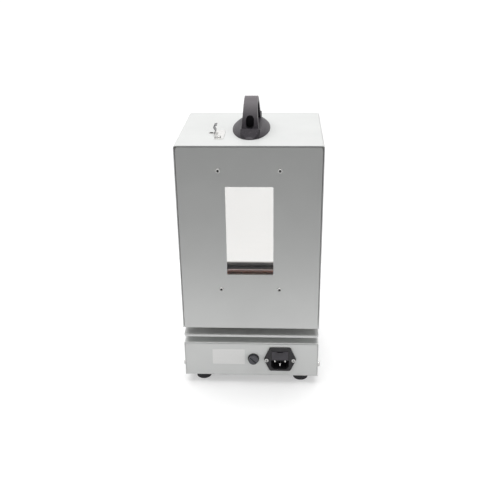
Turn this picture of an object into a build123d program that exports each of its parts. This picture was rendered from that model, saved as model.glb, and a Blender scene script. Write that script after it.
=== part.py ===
from build123d import *
import math
import os

# Compact laboratory furnace with a see-through chamber: a tall heated housing on a low control
# base, with a heat shield in the air gap between them. Millimetres, +Z up. The door is on the
# -Y side and the mains side is +Y. The origin is on the floor, under the middle of the overall box.

# ---- Overall sizes ----
width = 180.0
depth = 165.0
foot_height = 12.0
base_height = 51.5
lower_gap = 9.0
shield_thickness = 3.0
upper_gap = 11.0
housing_height = 248.5
sheet = 1.2
fit_gap = 0.3
screw_radius = 1.5
running_gap = 0.05

# ---- Feet and spacers ----
foot_radius = 10.0
foot_edge = 0.4
foot_inset_side = 23.0
foot_inset_end = 18.0
foot_recess_radius = 5.0
foot_recess_depth = 6.0
foot_screw_radius = 2.0
foot_screw_head = 2.4
spacer_radius = 5.0
spacer_inset = 28.0
shield_inset = 0.5
shield_corner = 3.0

# ---- Base ----
base_bend = 1.6
pan_top_gap = 0.7
return_flange = 16.0
cover_screw_head = 3.3
cover_screw_reach = 3.0
cover_screw_inset = 10.0
cover_screw_height = 13.3
vent_slot_length = 30.0
vent_slot_width = 4.0
vent_slot_pitch = 10.0
vent_slot_count = 6

# ---- Housing ----
housing_bend = 3.0
panel_thickness = 1.5
panel_corner = 4.0
panel_gap = 0.7
duct_slot_length = 46.0
duct_slot_width = 18.0
duct_wall = 1.2

# ---- Rear window ----
window_width = 59.0
window_below = 78.15
window_above = 51.35
glass_thickness = 4.0
rear_glass_margin = 8.0
throat_margin = 2.5
frame_screw_beside = 8.0
frame_screw_beyond = 20.5
frame_screw_edge = 6.0
frame_screw_head = 3.0
frame_screw_reach = 1.6
frame_socket_radius = 1.9
frame_socket_depth = 1.3
duct_depth = 27.0
duct_spread_x = 6.0
duct_spread_z = 13.5
duct_drop = 5.15

# ---- Chamber ----
side_insulation = 33.0
chamber_floor = 10.5
chamber_roof = 34.0
liner_wall = 1.0
liner_flange = 8.0
sill_height = 7.8
opening_lip = 8.0
opening_inset = 2.0
opening_corner = 3.0
insulation_gap = 0.6

# ---- Heater ----
rod_radius = 3.25
rod_bend = 12.0
bush_flange = 0.8
rod_side_gap = 11.0
rod_height = 4.8
front_rod_inset = 25.0
rod_tail = 14.0
rod_end_inset = 16.0
bracket_inset_left = 12.0
bracket_inset_right = 26.0
bracket_margin = 8.0
bracket_thickness = 1.5
bush_radius = 6.0

# ---- Sensors and probe port ----
sensor_radius = 1.5
sensor_reach = 16.0
sensor_drop = 44.5
sensor_inset = 62.0
thermostat_radius = 8.0
thermostat_thickness = 9.0
port_side_gap = 7.6
port_inset = 58.0
port_bore = 2.4
port_wall = 1.1
port_lip = 0.3

# ---- Probe clip ----
clip_sheet = 0.8
clip_tab_sheet = 1.4
clip_from_port = 6.0
clip_tab_width = 11.2
clip_tab_start = 27.2
clip_tab_length = 38.4
clip_leaf_end = 64.4
clip_root_length = 25.0
clip_root_height = 4.5
clip_jaw_length = 12.0
clip_jaw_height = 8.0
clip_jaw_gap = 0.5
clip_leaf_height = 10.5
clip_curl = 4.0
clip_slot_width = 2.0
clip_slot_length = 16.0
clip_screw_inset = 34.0
clip_screw_head = 2.4
clip_screw_reach = 1.5
clip_screw_radius = 1.25

# ---- Handle ----
guard_length = 115.0
guard_width = 48.0
guard_height = 6.0
guard_rim = 1.0
guard_toe = 11.0
bow_length = 94.0
bow_height = 40.4
bow_strap = 6.0
bow_foot = 15.0
bow_base_width = 23.0
bow_crest_width = 16.5
recess_width = 10.0
recess_tall = 15.0
recess_height = 18.0
recess_depth = 6.0
handle_screw_head = 3.5
handle_screw_depth = 1.8
handle_screw_reach = 8.0

# ---- Inlet with fuse drawer ----
inlet_x = -38.75
inlet_height = 27.0
inlet_width = 43.5
inlet_top_width = 27.6
inlet_rise = 18.3
inlet_drop = 17.7
inlet_flange = 3.0
inlet_corner = 3.0
inlet_body_width = 26.4
inlet_body_height = 30.8
inlet_body_depth = 22.0
socket_width = 24.0
socket_height = 14.0
socket_chamfer = 4.0
socket_depth = 16.0
pin_spacing = 14.0
pin_width = 2.0
pin_height = 4.0
pin_length = 14.0
inlet_screw_spacing = 36.2
inlet_screw_head = 2.7
inlet_screw_drop = 1.2
inlet_screw_seat = 1.4
inlet_split = 0.7
pin_drop = 3.1
earth_drop = 9.0
drawer_width = 22.0
drawer_height = 12.6
drawer_depth = 18.0
drawer_proud = 0.6
drawer_corner = 0.8
drawer_clear = 0.3
fuse_radius = 2.5
fuse_length = 20.0
fuse_cap_length = 5.0
fuse_glass_step = 0.3

# ---- Round fuse holder ----
holder_x = -2.9
holder_height = 27.4
holder_bezel = 7.65
holder_bezel_depth = 2.5
holder_barrel = 6.2
holder_length = 32.0
holder_bore = 5.2
holder_nut = 8.5
holder_nut_depth = 3.0
cap_radius = 6.2
cap_reach = 7.0
cap_stem = 10.0
cap_slot = 1.4
cap_slot_depth = 1.6

# ---- Front controls ----
control_x = -22.0
bezel_width = 77.0
bezel_height = 35.0
bezel_depth = 6.0
control_width = 70.0
control_height = 28.5
control_depth = 55.0
lens_width = 38.0
lens_height = 19.0
lens_shift = -14.0
lens_thickness = 1.5
key_width = 10.0
key_height = 6.5
key_pitch_x = 14.0
key_pitch_z = 11.0
key_shift = 22.0
key_reach = 1.2
key_depth = 3.0
key_travel = 0.6
key_clear = 0.25
switch_x = 60.0
switch_width = 18.0
switch_height = 27.0
switch_flange = 2.0
switch_depth = 22.0
rocker_width = 12.4
rocker_height = 17.4
rocker_pivot = 3.0
rocker_reach = 3.4
rocker_dip = 1.6
rocker_half_tilt = 7.0
rocker_room = 1.0

# ---- Parts inside the base ----
relay_size = (45.0, 58.0, 23.0)
relay_place = (45.0, 25.0)
block_size = (40.0, 20.0, 16.0)
block_place = (-45.0, 38.0)

# ---- Door ----
door_gap = 3.0
door_thickness = 12.0
door_side_inset = 4.0
door_top_inset = 5.0
door_overhang = 7.0
door_bar = 18.0
door_corner = 6.0
door_glass_lap = 6.0
door_inner_bar = 25.0
door_rib = 10.0
seal_width = 6.0
seal_squeeze = 0.3
knob_radius = 12.0
knob_stem = 5.0
knob_reach = 26.0
knob_neck = 7.0
knob_screw = 2.5
knob_edge = 4.0
magnet_radius = 5.0
magnet_depth = 2.0
keeper_radius = 6.0
keeper_depth = 0.7
magnet_edge = 2.5

# ---- Hinges ----
knuckle_radius = 3.0
hinge_pin_radius = 1.5
hinge_leaf = 1.5
hinge_length = 24.0
hinge_leaf_depth = 18.0
hinge_end_inset = 40.0
knuckle_clear = 0.5
pin_head_radius = 2.4
pin_head_height = 1.2

# ---- Levels and planes that follow from the sizes ----
base_top = foot_height + base_height
shield_bottom = base_top + lower_gap
shield_top = shield_bottom + shield_thickness
housing_bottom = shield_top + upper_gap
housing_top = housing_bottom + housing_height
rear_y = (depth + door_gap + door_thickness + knob_reach - cap_reach) / 2
front_y = rear_y - depth
side_x = width / 2
inner_x = side_x - sheet
window_height = housing_height - window_below - window_above
window_z = housing_bottom + window_below + window_height / 2
frame_screw_x = window_width + 2 * frame_screw_beside
frame_screw_z = window_height + 2 * frame_screw_beyond
chamber_width = width - 2 * side_insulation
floor_z = housing_bottom + chamber_floor
ceiling_z = housing_top - chamber_roof
glass_back_y = rear_y - panel_thickness - glass_thickness
duct_front_y = glass_back_y - panel_thickness - duct_depth
front_panel_y = front_y + panel_thickness
sill_z = floor_z + sill_height
opening_top_z = ceiling_z - opening_inset
opening_x = chamber_width / 2 - opening_inset
door_back_y = front_y - door_gap
door_front_y = door_back_y - door_thickness
door_x = side_x - door_side_inset
door_bottom = housing_bottom - door_overhang
door_top = housing_top - door_top_inset
door_mid = (door_bottom + door_top) / 2
door_height = door_top - door_bottom
hinge_x = -door_x - knuckle_radius - knuckle_clear
hinge_y = door_back_y - knuckle_clear
knob_x = door_x - door_bar / 2
knob_z = door_mid
magnet_x = door_x - magnet_radius - magnet_edge
port_x = chamber_width / 2 - port_side_gap
port_y = rear_y - port_inset
clip_tab_outer = port_x - clip_from_port
clip_tab_inner = clip_tab_outer - clip_tab_width
clip_screw_x = (clip_tab_inner + clip_tab_outer) / 2
clip_screw_y = rear_y - clip_screw_inset
middle_y = (front_y + rear_y) / 2
inlet_z = foot_height + inlet_height
inlet_screw_z = inlet_z - inlet_screw_drop
holder_z = foot_height + holder_height
control_z = foot_height + base_height / 2
rod_half_run = chamber_width / 2 - rod_side_gap
rod_end_x = rod_half_run - rod_end_inset
rod_pitch = 2 * rod_bend + running_gap
front_rod_y = front_y + front_rod_inset
heater_mid_y = front_rod_y + 1.5 * rod_pitch
rod_z = floor_z + rod_height
jacket_front_y = front_panel_y + liner_wall + insulation_gap
jacket_back_y = duct_front_y - liner_wall - insulation_gap
jacket_x = inner_x - insulation_gap
liner_outer_x = chamber_width / 2 + liner_wall + insulation_gap
jacket_floor_z = floor_z - liner_wall - insulation_gap
jacket_roof_z = ceiling_z + liner_wall + insulation_gap


def block(x0, x1, y0, y1, z0, z1):
    """Box between two opposite corners."""
    middle = Pos((x0 + x1) / 2, (y0 + y1) / 2, (z0 + z1) / 2)
    return middle * Box(x1 - x0, y1 - y0, z1 - z0)


def upright(y):
    """Plane across the furnace at y: sketches on it are (X, Z), and a positive extrusion runs to -Y."""
    return Plane(origin=(0, y, 0), x_dir=(1, 0, 0), z_dir=(0, -1, 0))


def slab(sketch, y_near, y_far):
    """Extrude an (X, Z) sketch from y_far back to y_near."""
    return extrude(upright(y_far) * sketch, amount=y_far - y_near)


def plate(sketch, z_low, z_high):
    """Extrude an (X, Y) sketch between two heights."""
    return extrude(Plane.XY.offset(z_low) * sketch, amount=z_high - z_low)


def ring(outer, inner):
    """Rectangular rounded ring of two (width, height, corner) sizes."""
    return RectangleRounded(*outer) - RectangleRounded(*inner)


def pattern(places, shape):
    """One sketch of the same shape at each place."""
    return Sketch() + [place * shape for place in places]


def post(x, y, z_low, z_high, radius):
    """Upright cylinder."""
    return plate(Pos(x, y) * Circle(radius), z_low, z_high)


def bar_y(x, z, y_near, y_far, radius):
    """Cylinder along Y."""
    return slab(Pos(x, z) * Circle(radius), y_near, y_far)


def corner_points(half_x, y_low, y_high):
    """The four (x, y) places mirrored about the middle plane."""
    return [(x, y) for x in (-half_x, half_x) for y in (y_low, y_high)]


def hood(z_low, height, bend):
    """Section of an inverted U of sheet, as wide as the furnace, with rounded bends."""
    outer = RectangleRounded(width, 2 * height, bend)
    inner = RectangleRounded(2 * inner_x, 2 * (height - sheet), bend - sheet)
    below = Rectangle(2 * width, 2 * height, align=(Align.CENTER, Align.MAX))
    return Pos(0, z_low) * (outer - inner - below)


# ---- Feet, base and gap ----
foot_places = corner_points(side_x - foot_inset_side, front_y + foot_inset_end, rear_y - foot_inset_end)
spacer_places = corner_points(side_x - spacer_inset, front_y + spacer_inset, rear_y - spacer_inset)


def make_feet():
    """Round rubber feet, each with a recess for its screw."""
    profile = Polyline(
        (foot_screw_radius + running_gap, foot_recess_depth),
        (foot_recess_radius, foot_recess_depth),
        (foot_recess_radius, 0),
        (foot_radius - foot_edge, 0),
        (foot_radius, foot_edge),
        (foot_radius, foot_height),
        (foot_screw_radius + running_gap, foot_height),
        close=True,
    )
    foot = revolve(Plane.XZ * make_face(profile), Axis.Z)
    return [Pos(x, y) * foot for x, y in foot_places]


def make_foot_screws():
    """Pan-head screws that hold the feet to the base."""
    head_top = foot_recess_depth
    head = Cylinder(foot_recess_radius - 1, foot_screw_head, align=(Align.CENTER, Align.CENTER, Align.MAX))
    head = fillet(head.edges().sort_by(Axis.Z)[0], 1)
    shank_length = foot_height + sheet + 1.5 - foot_recess_depth
    shank = Cylinder(foot_screw_radius, shank_length, align=(Align.CENTER, Align.CENTER, Align.MIN))
    return [Pos(x, y, head_top) * (head + shank) for x, y in foot_places]


def inlet_outline():
    """Six-sided flange of the inlet, with rounded corners, about its tips."""
    half = inlet_width / 2
    shoulder = inlet_top_width / 2
    points = [
        (-shoulder, inlet_rise),
        (shoulder, inlet_rise),
        (half, 0),
        (shoulder, -inlet_drop),
        (-shoulder, -inlet_drop),
        (-half, 0),
    ]
    outline = make_face(Polyline(*points, close=True))
    outline = fillet(outline.vertices(), inlet_corner)
    return Pos(inlet_x, inlet_z) * outline


def inlet_cutout(margin):
    """Rectangle of the inlet body, with a margin round it."""
    return Pos(inlet_x, inlet_z) * Rectangle(inlet_body_width + 2 * margin, inlet_body_height + 2 * margin)


def control_cutout(margin):
    """Rectangle of the controller body, with a margin round it."""
    return Pos(control_x, control_z) * Rectangle(control_width + 2 * margin, control_height + 2 * margin)


def switch_cutout(margin):
    """Rectangle of the switch body, with a margin round it."""
    size_x = rocker_width + 2 * rocker_room + 2 * margin
    size_z = rocker_height + 4 * rocker_room + 2 * margin
    return Pos(switch_x, control_z) * Rectangle(size_x, size_z)


def make_base_pan():
    """Folded pan: floor, front and rear in one sheet, with returns for the cover's screws."""
    outer = Pos(middle_y, foot_height + base_height / 2)
    outer = outer * RectangleRounded(depth, base_height, base_bend)
    inner = Pos(middle_y, foot_height + base_height / 2 + sheet)
    inner = inner * RectangleRounded(depth - 2 * sheet, base_height, base_bend - sheet)
    open_top = Pos(0, base_top) * Rectangle(4 * depth, 2 * (sheet + pan_top_gap))
    profile = Plane.YZ * (outer - inner - open_top)
    pan = extrude(profile, amount=inner_x - fit_gap, both=True)
    tab_top = base_top - 2 * sheet
    tab_bottom = foot_height + sheet + base_bend
    for side in (-1, 1):
        x_out = side * (inner_x - fit_gap)
        x_in = x_out - side * sheet
        x_pair = sorted((x_out, x_in))
        rear_tab = block(*x_pair, rear_y - sheet - return_flange, rear_y - sheet, tab_bottom, tab_top)
        front_tab = block(*x_pair, front_y + sheet, front_y + sheet + return_flange, tab_bottom, tab_top)
        pan += rear_tab + front_tab
    pan -= slab(inlet_cutout(fit_gap), rear_y - 2 * sheet, rear_y + 1)
    pan -= bar_y(holder_x, holder_z, rear_y - 2 * sheet, rear_y + 1, holder_barrel + running_gap)
    for x in inlet_screw_places():
        pan -= bar_y(x, inlet_screw_z, rear_y - 2 * sheet, rear_y + 1, screw_radius + fit_gap)
    pan -= slab(control_cutout(fit_gap), front_y - 1, front_y + 2 * sheet)
    pan -= slab(switch_cutout(fit_gap), front_y - 1, front_y + 2 * sheet)
    for x, y in foot_places:
        pan -= post(x, y, 0, foot_height + 2 * sheet, foot_screw_radius + running_gap)
    slot = SlotOverall(vent_slot_length, vent_slot_width, rotation=90)
    vents = pattern(GridLocations(vent_slot_pitch, 0, vent_slot_count, 1), slot)
    pan -= plate(Pos(0, middle_y) * vents, foot_height - 1, foot_height + 2 * sheet)
    for x, y, z in cover_screw_places():
        hole = Plane.YZ.offset(side_x * math.copysign(1, x)) * Pos(y, z) * Circle(screw_radius + running_gap)
        pan -= extrude(hole, amount=4 * sheet, both=True)
    return pan


def cover_screw_places():
    """Side screws of the base cover: two on each side, on its outer face."""
    z = foot_height + cover_screw_height
    ends = (front_y + cover_screw_inset, rear_y - cover_screw_inset)
    return [(x, y, z) for x in (-side_x, side_x) for y in ends]


def make_base_cover():
    """Inverted U over the pan: top and two sides, with rounded bends."""
    cover = slab(hood(foot_height, base_height, base_bend), front_y, rear_y)
    cover -= plate(duct_place() * duct_outline(fit_gap), base_top - 2 * sheet, base_top + 1)
    for x, y, z in cover_screw_places():
        hole = Plane.YZ.offset(x) * Pos(y, z) * Circle(screw_radius + running_gap)
        cover -= extrude(hole, amount=2 * sheet, both=True)
    return cover


def make_cover_screws():
    """Pan-head side screws."""
    screws = []
    for x, y, z in cover_screw_places():
        side = math.copysign(1, x)
        seat = Plane(origin=(x, y, z), x_dir=(0, 1, 0), z_dir=(side, 0, 0))
        head = extrude(seat * Circle(cover_screw_head), amount=cover_screw_reach)
        head = fillet(head.faces().sort_by(Axis.X)[-1 if side > 0 else 0].edges(), cover_screw_reach * 0.6)
        shank = extrude(seat * Circle(screw_radius), amount=-(2 * sheet + fit_gap + cover_screw_reach))
        screws.append(head + shank)
    return screws


def duct_place():
    """Centre of the wire duct, under the heater's two ends."""
    return Pos(rod_end_x, heater_mid_y)


def duct_outline(margin=0.0):
    """Slot-shaped outline of the wire duct, along Y."""
    return SlotOverall(duct_slot_length + 2 * margin, duct_slot_width + 2 * margin, rotation=90)


def make_relay():
    """Solid-state relay on the base floor, with its screw lands and ribs."""
    size_x, size_y, size_z = relay_size
    floor = foot_height + sheet
    body = block(-size_x / 2, size_x / 2, -size_y / 2, size_y / 2, 0, size_z)
    body = fillet(body.edges().filter_by(Axis.Z), 3)
    step = block(-size_x, size_x, size_y / 2 - 13, size_y, size_z - 7, size_z + 1)
    body -= step + mirror(step, Plane.XZ)
    return Pos(*relay_place, floor) * body


def make_terminal_block():
    """Mains terminal block with a row of wire funnels."""
    size_x, size_y, size_z = block_size
    body = block(-size_x / 2, size_x / 2, -size_y / 2, size_y / 2, 0, size_z)
    funnels = pattern(GridLocations(10, 0, 4, 1), Circle(3))
    body -= extrude(Plane.XY.offset(size_z) * funnels, amount=-8)
    return Pos(*block_place, foot_height + sheet) * body


def make_spacers():
    """Steel posts below and above the heat shield."""
    spacers = []
    for x, y in spacer_places:
        spacers.append(post(x, y, base_top, shield_bottom, spacer_radius))
        spacers.append(post(x, y, shield_top, housing_bottom, spacer_radius))
    return spacers


def make_shield_plate():
    """Heat shield between the base and the hot housing."""
    outline = Pos(0, middle_y) * RectangleRounded(width - 2 * shield_inset, depth, shield_corner)
    shield = plate(outline, shield_bottom, shield_top)
    shield -= plate(duct_place() * duct_outline(fit_gap), shield_bottom - 1, shield_top + 1)
    return shield


def make_wire_duct():
    """Sleeve that takes the heater's leads from the base up to the housing."""
    tube = duct_outline() - duct_outline(-duct_wall)
    return plate(duct_place() * tube, base_top - 2 * sheet, housing_bottom)


# ---- Housing ----
def make_housing_wrap():
    """Folded wrap of the housing: sides and top, with rounded bends."""
    wrap = slab(hood(housing_bottom, housing_height, housing_bend), front_y, rear_y)
    low_z = housing_top - 2 * sheet
    high_z = housing_top + 1
    wrap -= post(port_x, port_y, low_z, high_z, port_bore + port_wall + running_gap)
    wrap -= post(clip_screw_x, clip_screw_y, low_z, high_z, clip_screw_radius + running_gap)
    for y in bow_feet():
        wrap -= post(0, y, low_z, high_z, screw_radius + running_gap)
    return wrap


def make_housing_floor():
    """Floor sheet of the housing, between the two panels, with the mouth of the wire duct."""
    floor_x = inner_x - fit_gap
    floor_y = (front_panel_y, rear_y - panel_thickness)
    floor = block(-floor_x, floor_x, *floor_y, housing_bottom, housing_bottom + sheet)
    mouth = duct_place() * duct_outline(-duct_wall)
    return floor - plate(mouth, housing_bottom - 1, housing_bottom + 2 * sheet)


def window_points():
    """Places of the rear glass frame's screws."""
    return [Pos(0, window_z) * place for place in GridLocations(frame_screw_x, frame_screw_z, 2, 2)]


def panel_outline():
    """Outline of the front and rear panels inside the wrap, with round upper corners."""
    size_x = 2 * (inner_x - panel_gap)
    size_z = housing_height - sheet - panel_gap
    outline = Pos(0, housing_bottom + size_z / 2) * Rectangle(size_x, size_z)
    return fillet(outline.vertices().sort_by(Axis.Y)[-2:], panel_corner)


def make_rear_panel():
    """Rear panel with the window opening and the holes of the frame's screws."""
    face = panel_outline() - Pos(0, window_z) * RectangleRounded(window_width, window_height, 1)
    face -= pattern(window_points(), Circle(screw_radius + running_gap))
    return slab(face, rear_y - panel_thickness, rear_y)


def make_rear_glass():
    """Pane behind the rear panel."""
    size_x = window_width + 2 * rear_glass_margin
    size_z = window_height + 2 * rear_glass_margin
    pane = Pos(0, window_z) * RectangleRounded(size_x, size_z, 2)
    return slab(pane, glass_back_y, rear_y - panel_thickness)


def flare(margin):
    """Solid that widens and drops from the rear glass to the chamber, grown by a margin."""
    throat_x = window_width + 2 * throat_margin + 2 * margin
    throat_z = window_height + 2 * throat_margin + 2 * margin
    mouth_x = throat_x + 2 * duct_spread_x
    mouth_z = throat_z + 2 * duct_spread_z
    throat = upright(glass_back_y) * Pos(0, window_z) * RectangleRounded(throat_x, throat_z, 2 + margin)
    mouth = Pos(0, window_z - duct_drop) * RectangleRounded(mouth_x, mouth_z, 2 + margin)
    mouth = upright(duct_front_y) * mouth
    return loft([throat, mouth])


def make_rear_glass_frame():
    """Clamp frame of the rear glass: a flange with screw bosses and a flared light duct."""
    size_x = frame_screw_x + 2 * frame_screw_edge
    size_z = frame_screw_z + 2 * frame_screw_edge
    flange = Pos(0, window_z) * RectangleRounded(size_x, size_z, 5)
    frame = slab(flange, glass_back_y - panel_thickness, glass_back_y)
    bosses = pattern(window_points(), Circle(frame_screw_edge - 1.5))
    frame += slab(bosses, glass_back_y, rear_y - panel_thickness)
    frame += flare(liner_wall)
    frame -= flare(0)
    holes = pattern(window_points(), Circle(screw_radius + running_gap))
    frame -= slab(holes, glass_back_y - 2 * panel_thickness, rear_y)
    return frame


def make_frame_screws():
    """Button-head screws through the rear panel into the frame's bosses."""
    tip_y = glass_back_y - panel_thickness
    screws = []
    for spot in window_points():
        x = spot.position.X
        z = spot.position.Y
        shank = bar_y(x, z, tip_y, rear_y, screw_radius)
        head = bar_y(x, z, rear_y, rear_y + frame_screw_reach, frame_screw_head)
        head = fillet(head.faces().sort_by(Axis.Y)[-1].edges(), frame_screw_reach * 0.7)
        socket = Pos(x, z) * RegularPolygon(frame_socket_radius, 6)
        head_y = rear_y + frame_screw_reach
        socket = slab(socket, head_y - frame_socket_depth, head_y + 1)
        screws.append(shank + head - socket)
    return screws


def make_front_frame():
    """Front of the housing, with four lips folded into the chamber round its mouth."""
    mouth = Rectangle(2 * opening_x, opening_top_z - sill_z)
    mouth = fillet(mouth.vertices(), opening_corner)
    face = panel_outline() - Pos(0, (sill_z + opening_top_z) / 2) * mouth
    frame = slab(face, front_y, front_panel_y)
    lip_y = (front_y, front_y + opening_lip)
    run_x = opening_x - opening_corner
    for z in (sill_z - liner_wall, opening_top_z):
        frame += block(-run_x, run_x, *lip_y, z, z + liner_wall)
    for x in (-opening_x - liner_wall, opening_x):
        frame += block(x, x + liner_wall, *lip_y, sill_z + opening_corner, opening_top_z - opening_corner)
    return frame


# ---- Chamber ----
def make_chamber_liner():
    """Steel muffle of five welded sheets: floor, roof and sides with front flanges, and the back."""
    x_in = chamber_width / 2
    x_out = x_in + liner_wall
    flange_y = (front_panel_y, front_panel_y + liner_wall)
    floor_low = floor_z - liner_wall
    floor = block(-x_out, x_out, front_panel_y, duct_front_y, floor_low, floor_z)
    floor += block(-x_out, x_out, *flange_y, floor_low - liner_flange, floor_low)
    for x, y in heater_ends():
        floor -= post(x, y, floor_low - 1, floor_z + 1, bush_radius + running_gap)
    roof_high = ceiling_z + liner_wall
    roof = block(-x_out, x_out, front_panel_y, duct_front_y, ceiling_z, roof_high)
    roof += block(-x_out, x_out, *flange_y, roof_high, roof_high + liner_flange)
    roof -= post(port_x, port_y, ceiling_z - 1, roof_high + 1, port_bore + port_wall + running_gap)
    side = block(x_in, x_out, front_panel_y, duct_front_y, floor_z, ceiling_z)
    side += block(x_out, x_out + liner_flange, *flange_y, floor_z, ceiling_z)
    left = mirror(side, Plane.YZ) - sensor_rod(running_gap)
    back = block(-x_in, x_in, duct_front_y - liner_wall, duct_front_y, floor_z, ceiling_z)
    mouth_x = window_width + 2 * (throat_margin + duct_spread_x)
    mouth_z = window_height + 2 * (throat_margin + duct_spread_z)
    mouth = Pos(0, window_z - duct_drop) * RectangleRounded(mouth_x, mouth_z, 2)
    back -= slab(mouth, duct_front_y - 2 * liner_wall, duct_front_y + 1)
    return [floor, roof, side, left, back]


def make_insulation_sides():
    """Fibre boards on both sides of the chamber; one has a pocket for the thermostat."""
    left = block(-jacket_x, -liner_outer_x, jacket_front_y, jacket_back_y, jacket_floor_z, jacket_roof_z)
    left -= sensor_rod(fit_gap)
    left -= thermostat(fit_gap)
    right = block(liner_outer_x, jacket_x, jacket_front_y, jacket_back_y, jacket_floor_z, jacket_roof_z)
    return [left, right]


def make_insulation_top():
    """Fibre board over the chamber, with the probe port through it."""
    z_low = jacket_roof_z + insulation_gap
    z_high = housing_top - sheet - insulation_gap
    board = block(-jacket_x, jacket_x, jacket_front_y, jacket_back_y, z_low, z_high)
    board -= post(port_x, port_y, z_low - 1, z_high + 1, port_bore + port_wall + fit_gap)
    return handle_screw_pockets(board)


def make_insulation_bottom():
    """Fibre board under the chamber, with the openings of the heater's ends."""
    z_low = housing_bottom + sheet + insulation_gap
    z_high = jacket_floor_z - insulation_gap
    board = block(-jacket_x, jacket_x, jacket_front_y, jacket_back_y, z_low, z_high)
    for x, y in heater_ends():
        board -= post(x, y, z_low - 1, z_high + 1, bush_radius + fit_gap)
    return board


def make_insulation_back():
    """Fibre board behind the chamber, open round the rear window's frame."""
    size_x = frame_screw_x + 2 * (frame_screw_edge + insulation_gap)
    size_z = frame_screw_z + 2 * (frame_screw_edge + insulation_gap)
    hole = Pos(0, window_z) * RectangleRounded(size_x, size_z, 5)
    size_x = 2 * jacket_x
    size_z = housing_height - 2 * (sheet + insulation_gap)
    board = Pos(0, (housing_bottom + housing_top) / 2) * Rectangle(size_x, size_z)
    board = slab(board - hole, duct_front_y + insulation_gap, rear_y - panel_thickness - insulation_gap)
    return handle_screw_pockets(board)


# ---- Heater and sensors ----
def heater_ends():
    """Places where the heater's two ends leave through the chamber floor."""
    return [(rod_end_x, heater_mid_y - rod_pitch / 2), (rod_end_x, heater_mid_y + rod_pitch / 2)]


def heater_runs():
    """Y of the four runs across the floor."""
    return [front_rod_y + index * rod_pitch for index in range(4)]


def make_heater_element():
    """Tubular heater: four runs across the floor, bent from one line, with both ends down."""
    y_1, y_2, y_3, y_4 = heater_runs()
    tail_z = rod_z - rod_tail
    route = [
        (rod_end_x, y_2, tail_z),
        (rod_end_x, y_2, rod_z),
        (-rod_half_run, y_2, rod_z),
        (-rod_half_run, y_1, rod_z),
        (rod_half_run, y_1, rod_z),
        (rod_half_run, y_4, rod_z),
        (-rod_half_run, y_4, rod_z),
        (-rod_half_run, y_3, rod_z),
        (rod_end_x, y_3, rod_z),
        (rod_end_x, y_3, tail_z),
    ]
    end_bend = rod_height - bush_flange
    path = FilletPolyline(*route, radius=[end_bend] + [rod_bend] * 6 + [end_bend])
    section = Plane(origin=path @ 0, z_dir=path % 0) * Circle(rod_radius)
    return sweep(section, path=path)


def make_heater_brackets():
    """Notched strips on the chamber floor that carry the runs."""
    runs = heater_runs()
    comb = Rectangle(runs[-1] - runs[0] + 2 * bracket_margin, rod_height, align=(Align.CENTER, Align.MIN))
    comb = Pos(heater_mid_y, floor_z) * comb
    for y in runs:
        comb -= Pos(y, rod_z) * Circle(rod_radius + running_gap)
    strip = extrude(Plane.YZ * comb, amount=bracket_thickness / 2, both=True)
    places = (bracket_inset_left - rod_half_run, rod_half_run - bracket_inset_right)
    return [Pos(x, 0) * strip for x in places]


def make_heater_bushes():
    """Flanged ceramic bushes of the heater's ends."""
    bushes = []
    for x, y in heater_ends():
        sleeve = post(x, y, housing_bottom + sheet, floor_z, bush_radius)
        sleeve += post(x, y, floor_z, floor_z + bush_flange, bush_radius + 1.5)
        sleeve -= post(x, y, housing_bottom, floor_z + 2, rod_radius + running_gap)
        bushes.append(sleeve)
    return bushes


def sensor_rod(margin):
    """Sheath of the temperature sensor, through the chamber's side."""
    y = rear_y - sensor_inset
    z = ceiling_z - sensor_drop
    start = Plane(origin=(-jacket_x, y, z), x_dir=(0, 1, 0), z_dir=(1, 0, 0))
    length = jacket_x - chamber_width / 2 + sensor_reach
    return extrude(start * Circle(sensor_radius + margin), amount=length + margin)


def make_temperature_sensor():
    """Sheathed sensor with a rounded tip and a collar at the chamber wall."""
    rod = sensor_rod(0)
    rod = fillet(rod.faces().sort_by(Axis.X)[-1].edges(), sensor_radius * 0.8)
    y = rear_y - sensor_inset
    z = ceiling_z - sensor_drop
    seat = Plane(origin=(-chamber_width / 2, y, z), x_dir=(0, 1, 0), z_dir=(1, 0, 0))
    return rod + extrude(seat * Circle(2 * sensor_radius), amount=1)


def thermostat(margin):
    """Space of the limit thermostat against the chamber's side."""
    y = (jacket_front_y + jacket_back_y) / 2
    z = (floor_z + ceiling_z) / 2
    wall_x = -(chamber_width / 2 + liner_wall)
    seat = Plane(origin=(wall_x, y, z), x_dir=(0, 1, 0), z_dir=(-1, 0, 0))
    return extrude(seat * Circle(thermostat_radius + margin), amount=thermostat_thickness + margin)


def make_thermostat():
    """Limit thermostat: a stepped disc on the chamber's outer side."""
    y = (jacket_front_y + jacket_back_y) / 2
    z = (floor_z + ceiling_z) / 2
    wall_x = -(chamber_width / 2 + liner_wall)
    seat = Plane(origin=(wall_x, y, z), x_dir=(0, 1, 0), z_dir=(-1, 0, 0))
    cup = extrude(seat * Circle(thermostat_radius), amount=thermostat_thickness / 3)
    return cup + extrude(seat * Circle(thermostat_radius - 1.5), amount=thermostat_thickness)


def make_probe_bush():
    """Thin steel sleeve of the probe port, from the top down to the chamber."""
    tube = post(port_x, port_y, ceiling_z - 1, housing_top + port_lip, port_bore + port_wall)
    return tube - post(port_x, port_y, ceiling_z - 2, housing_top + 1, port_bore)


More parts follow.
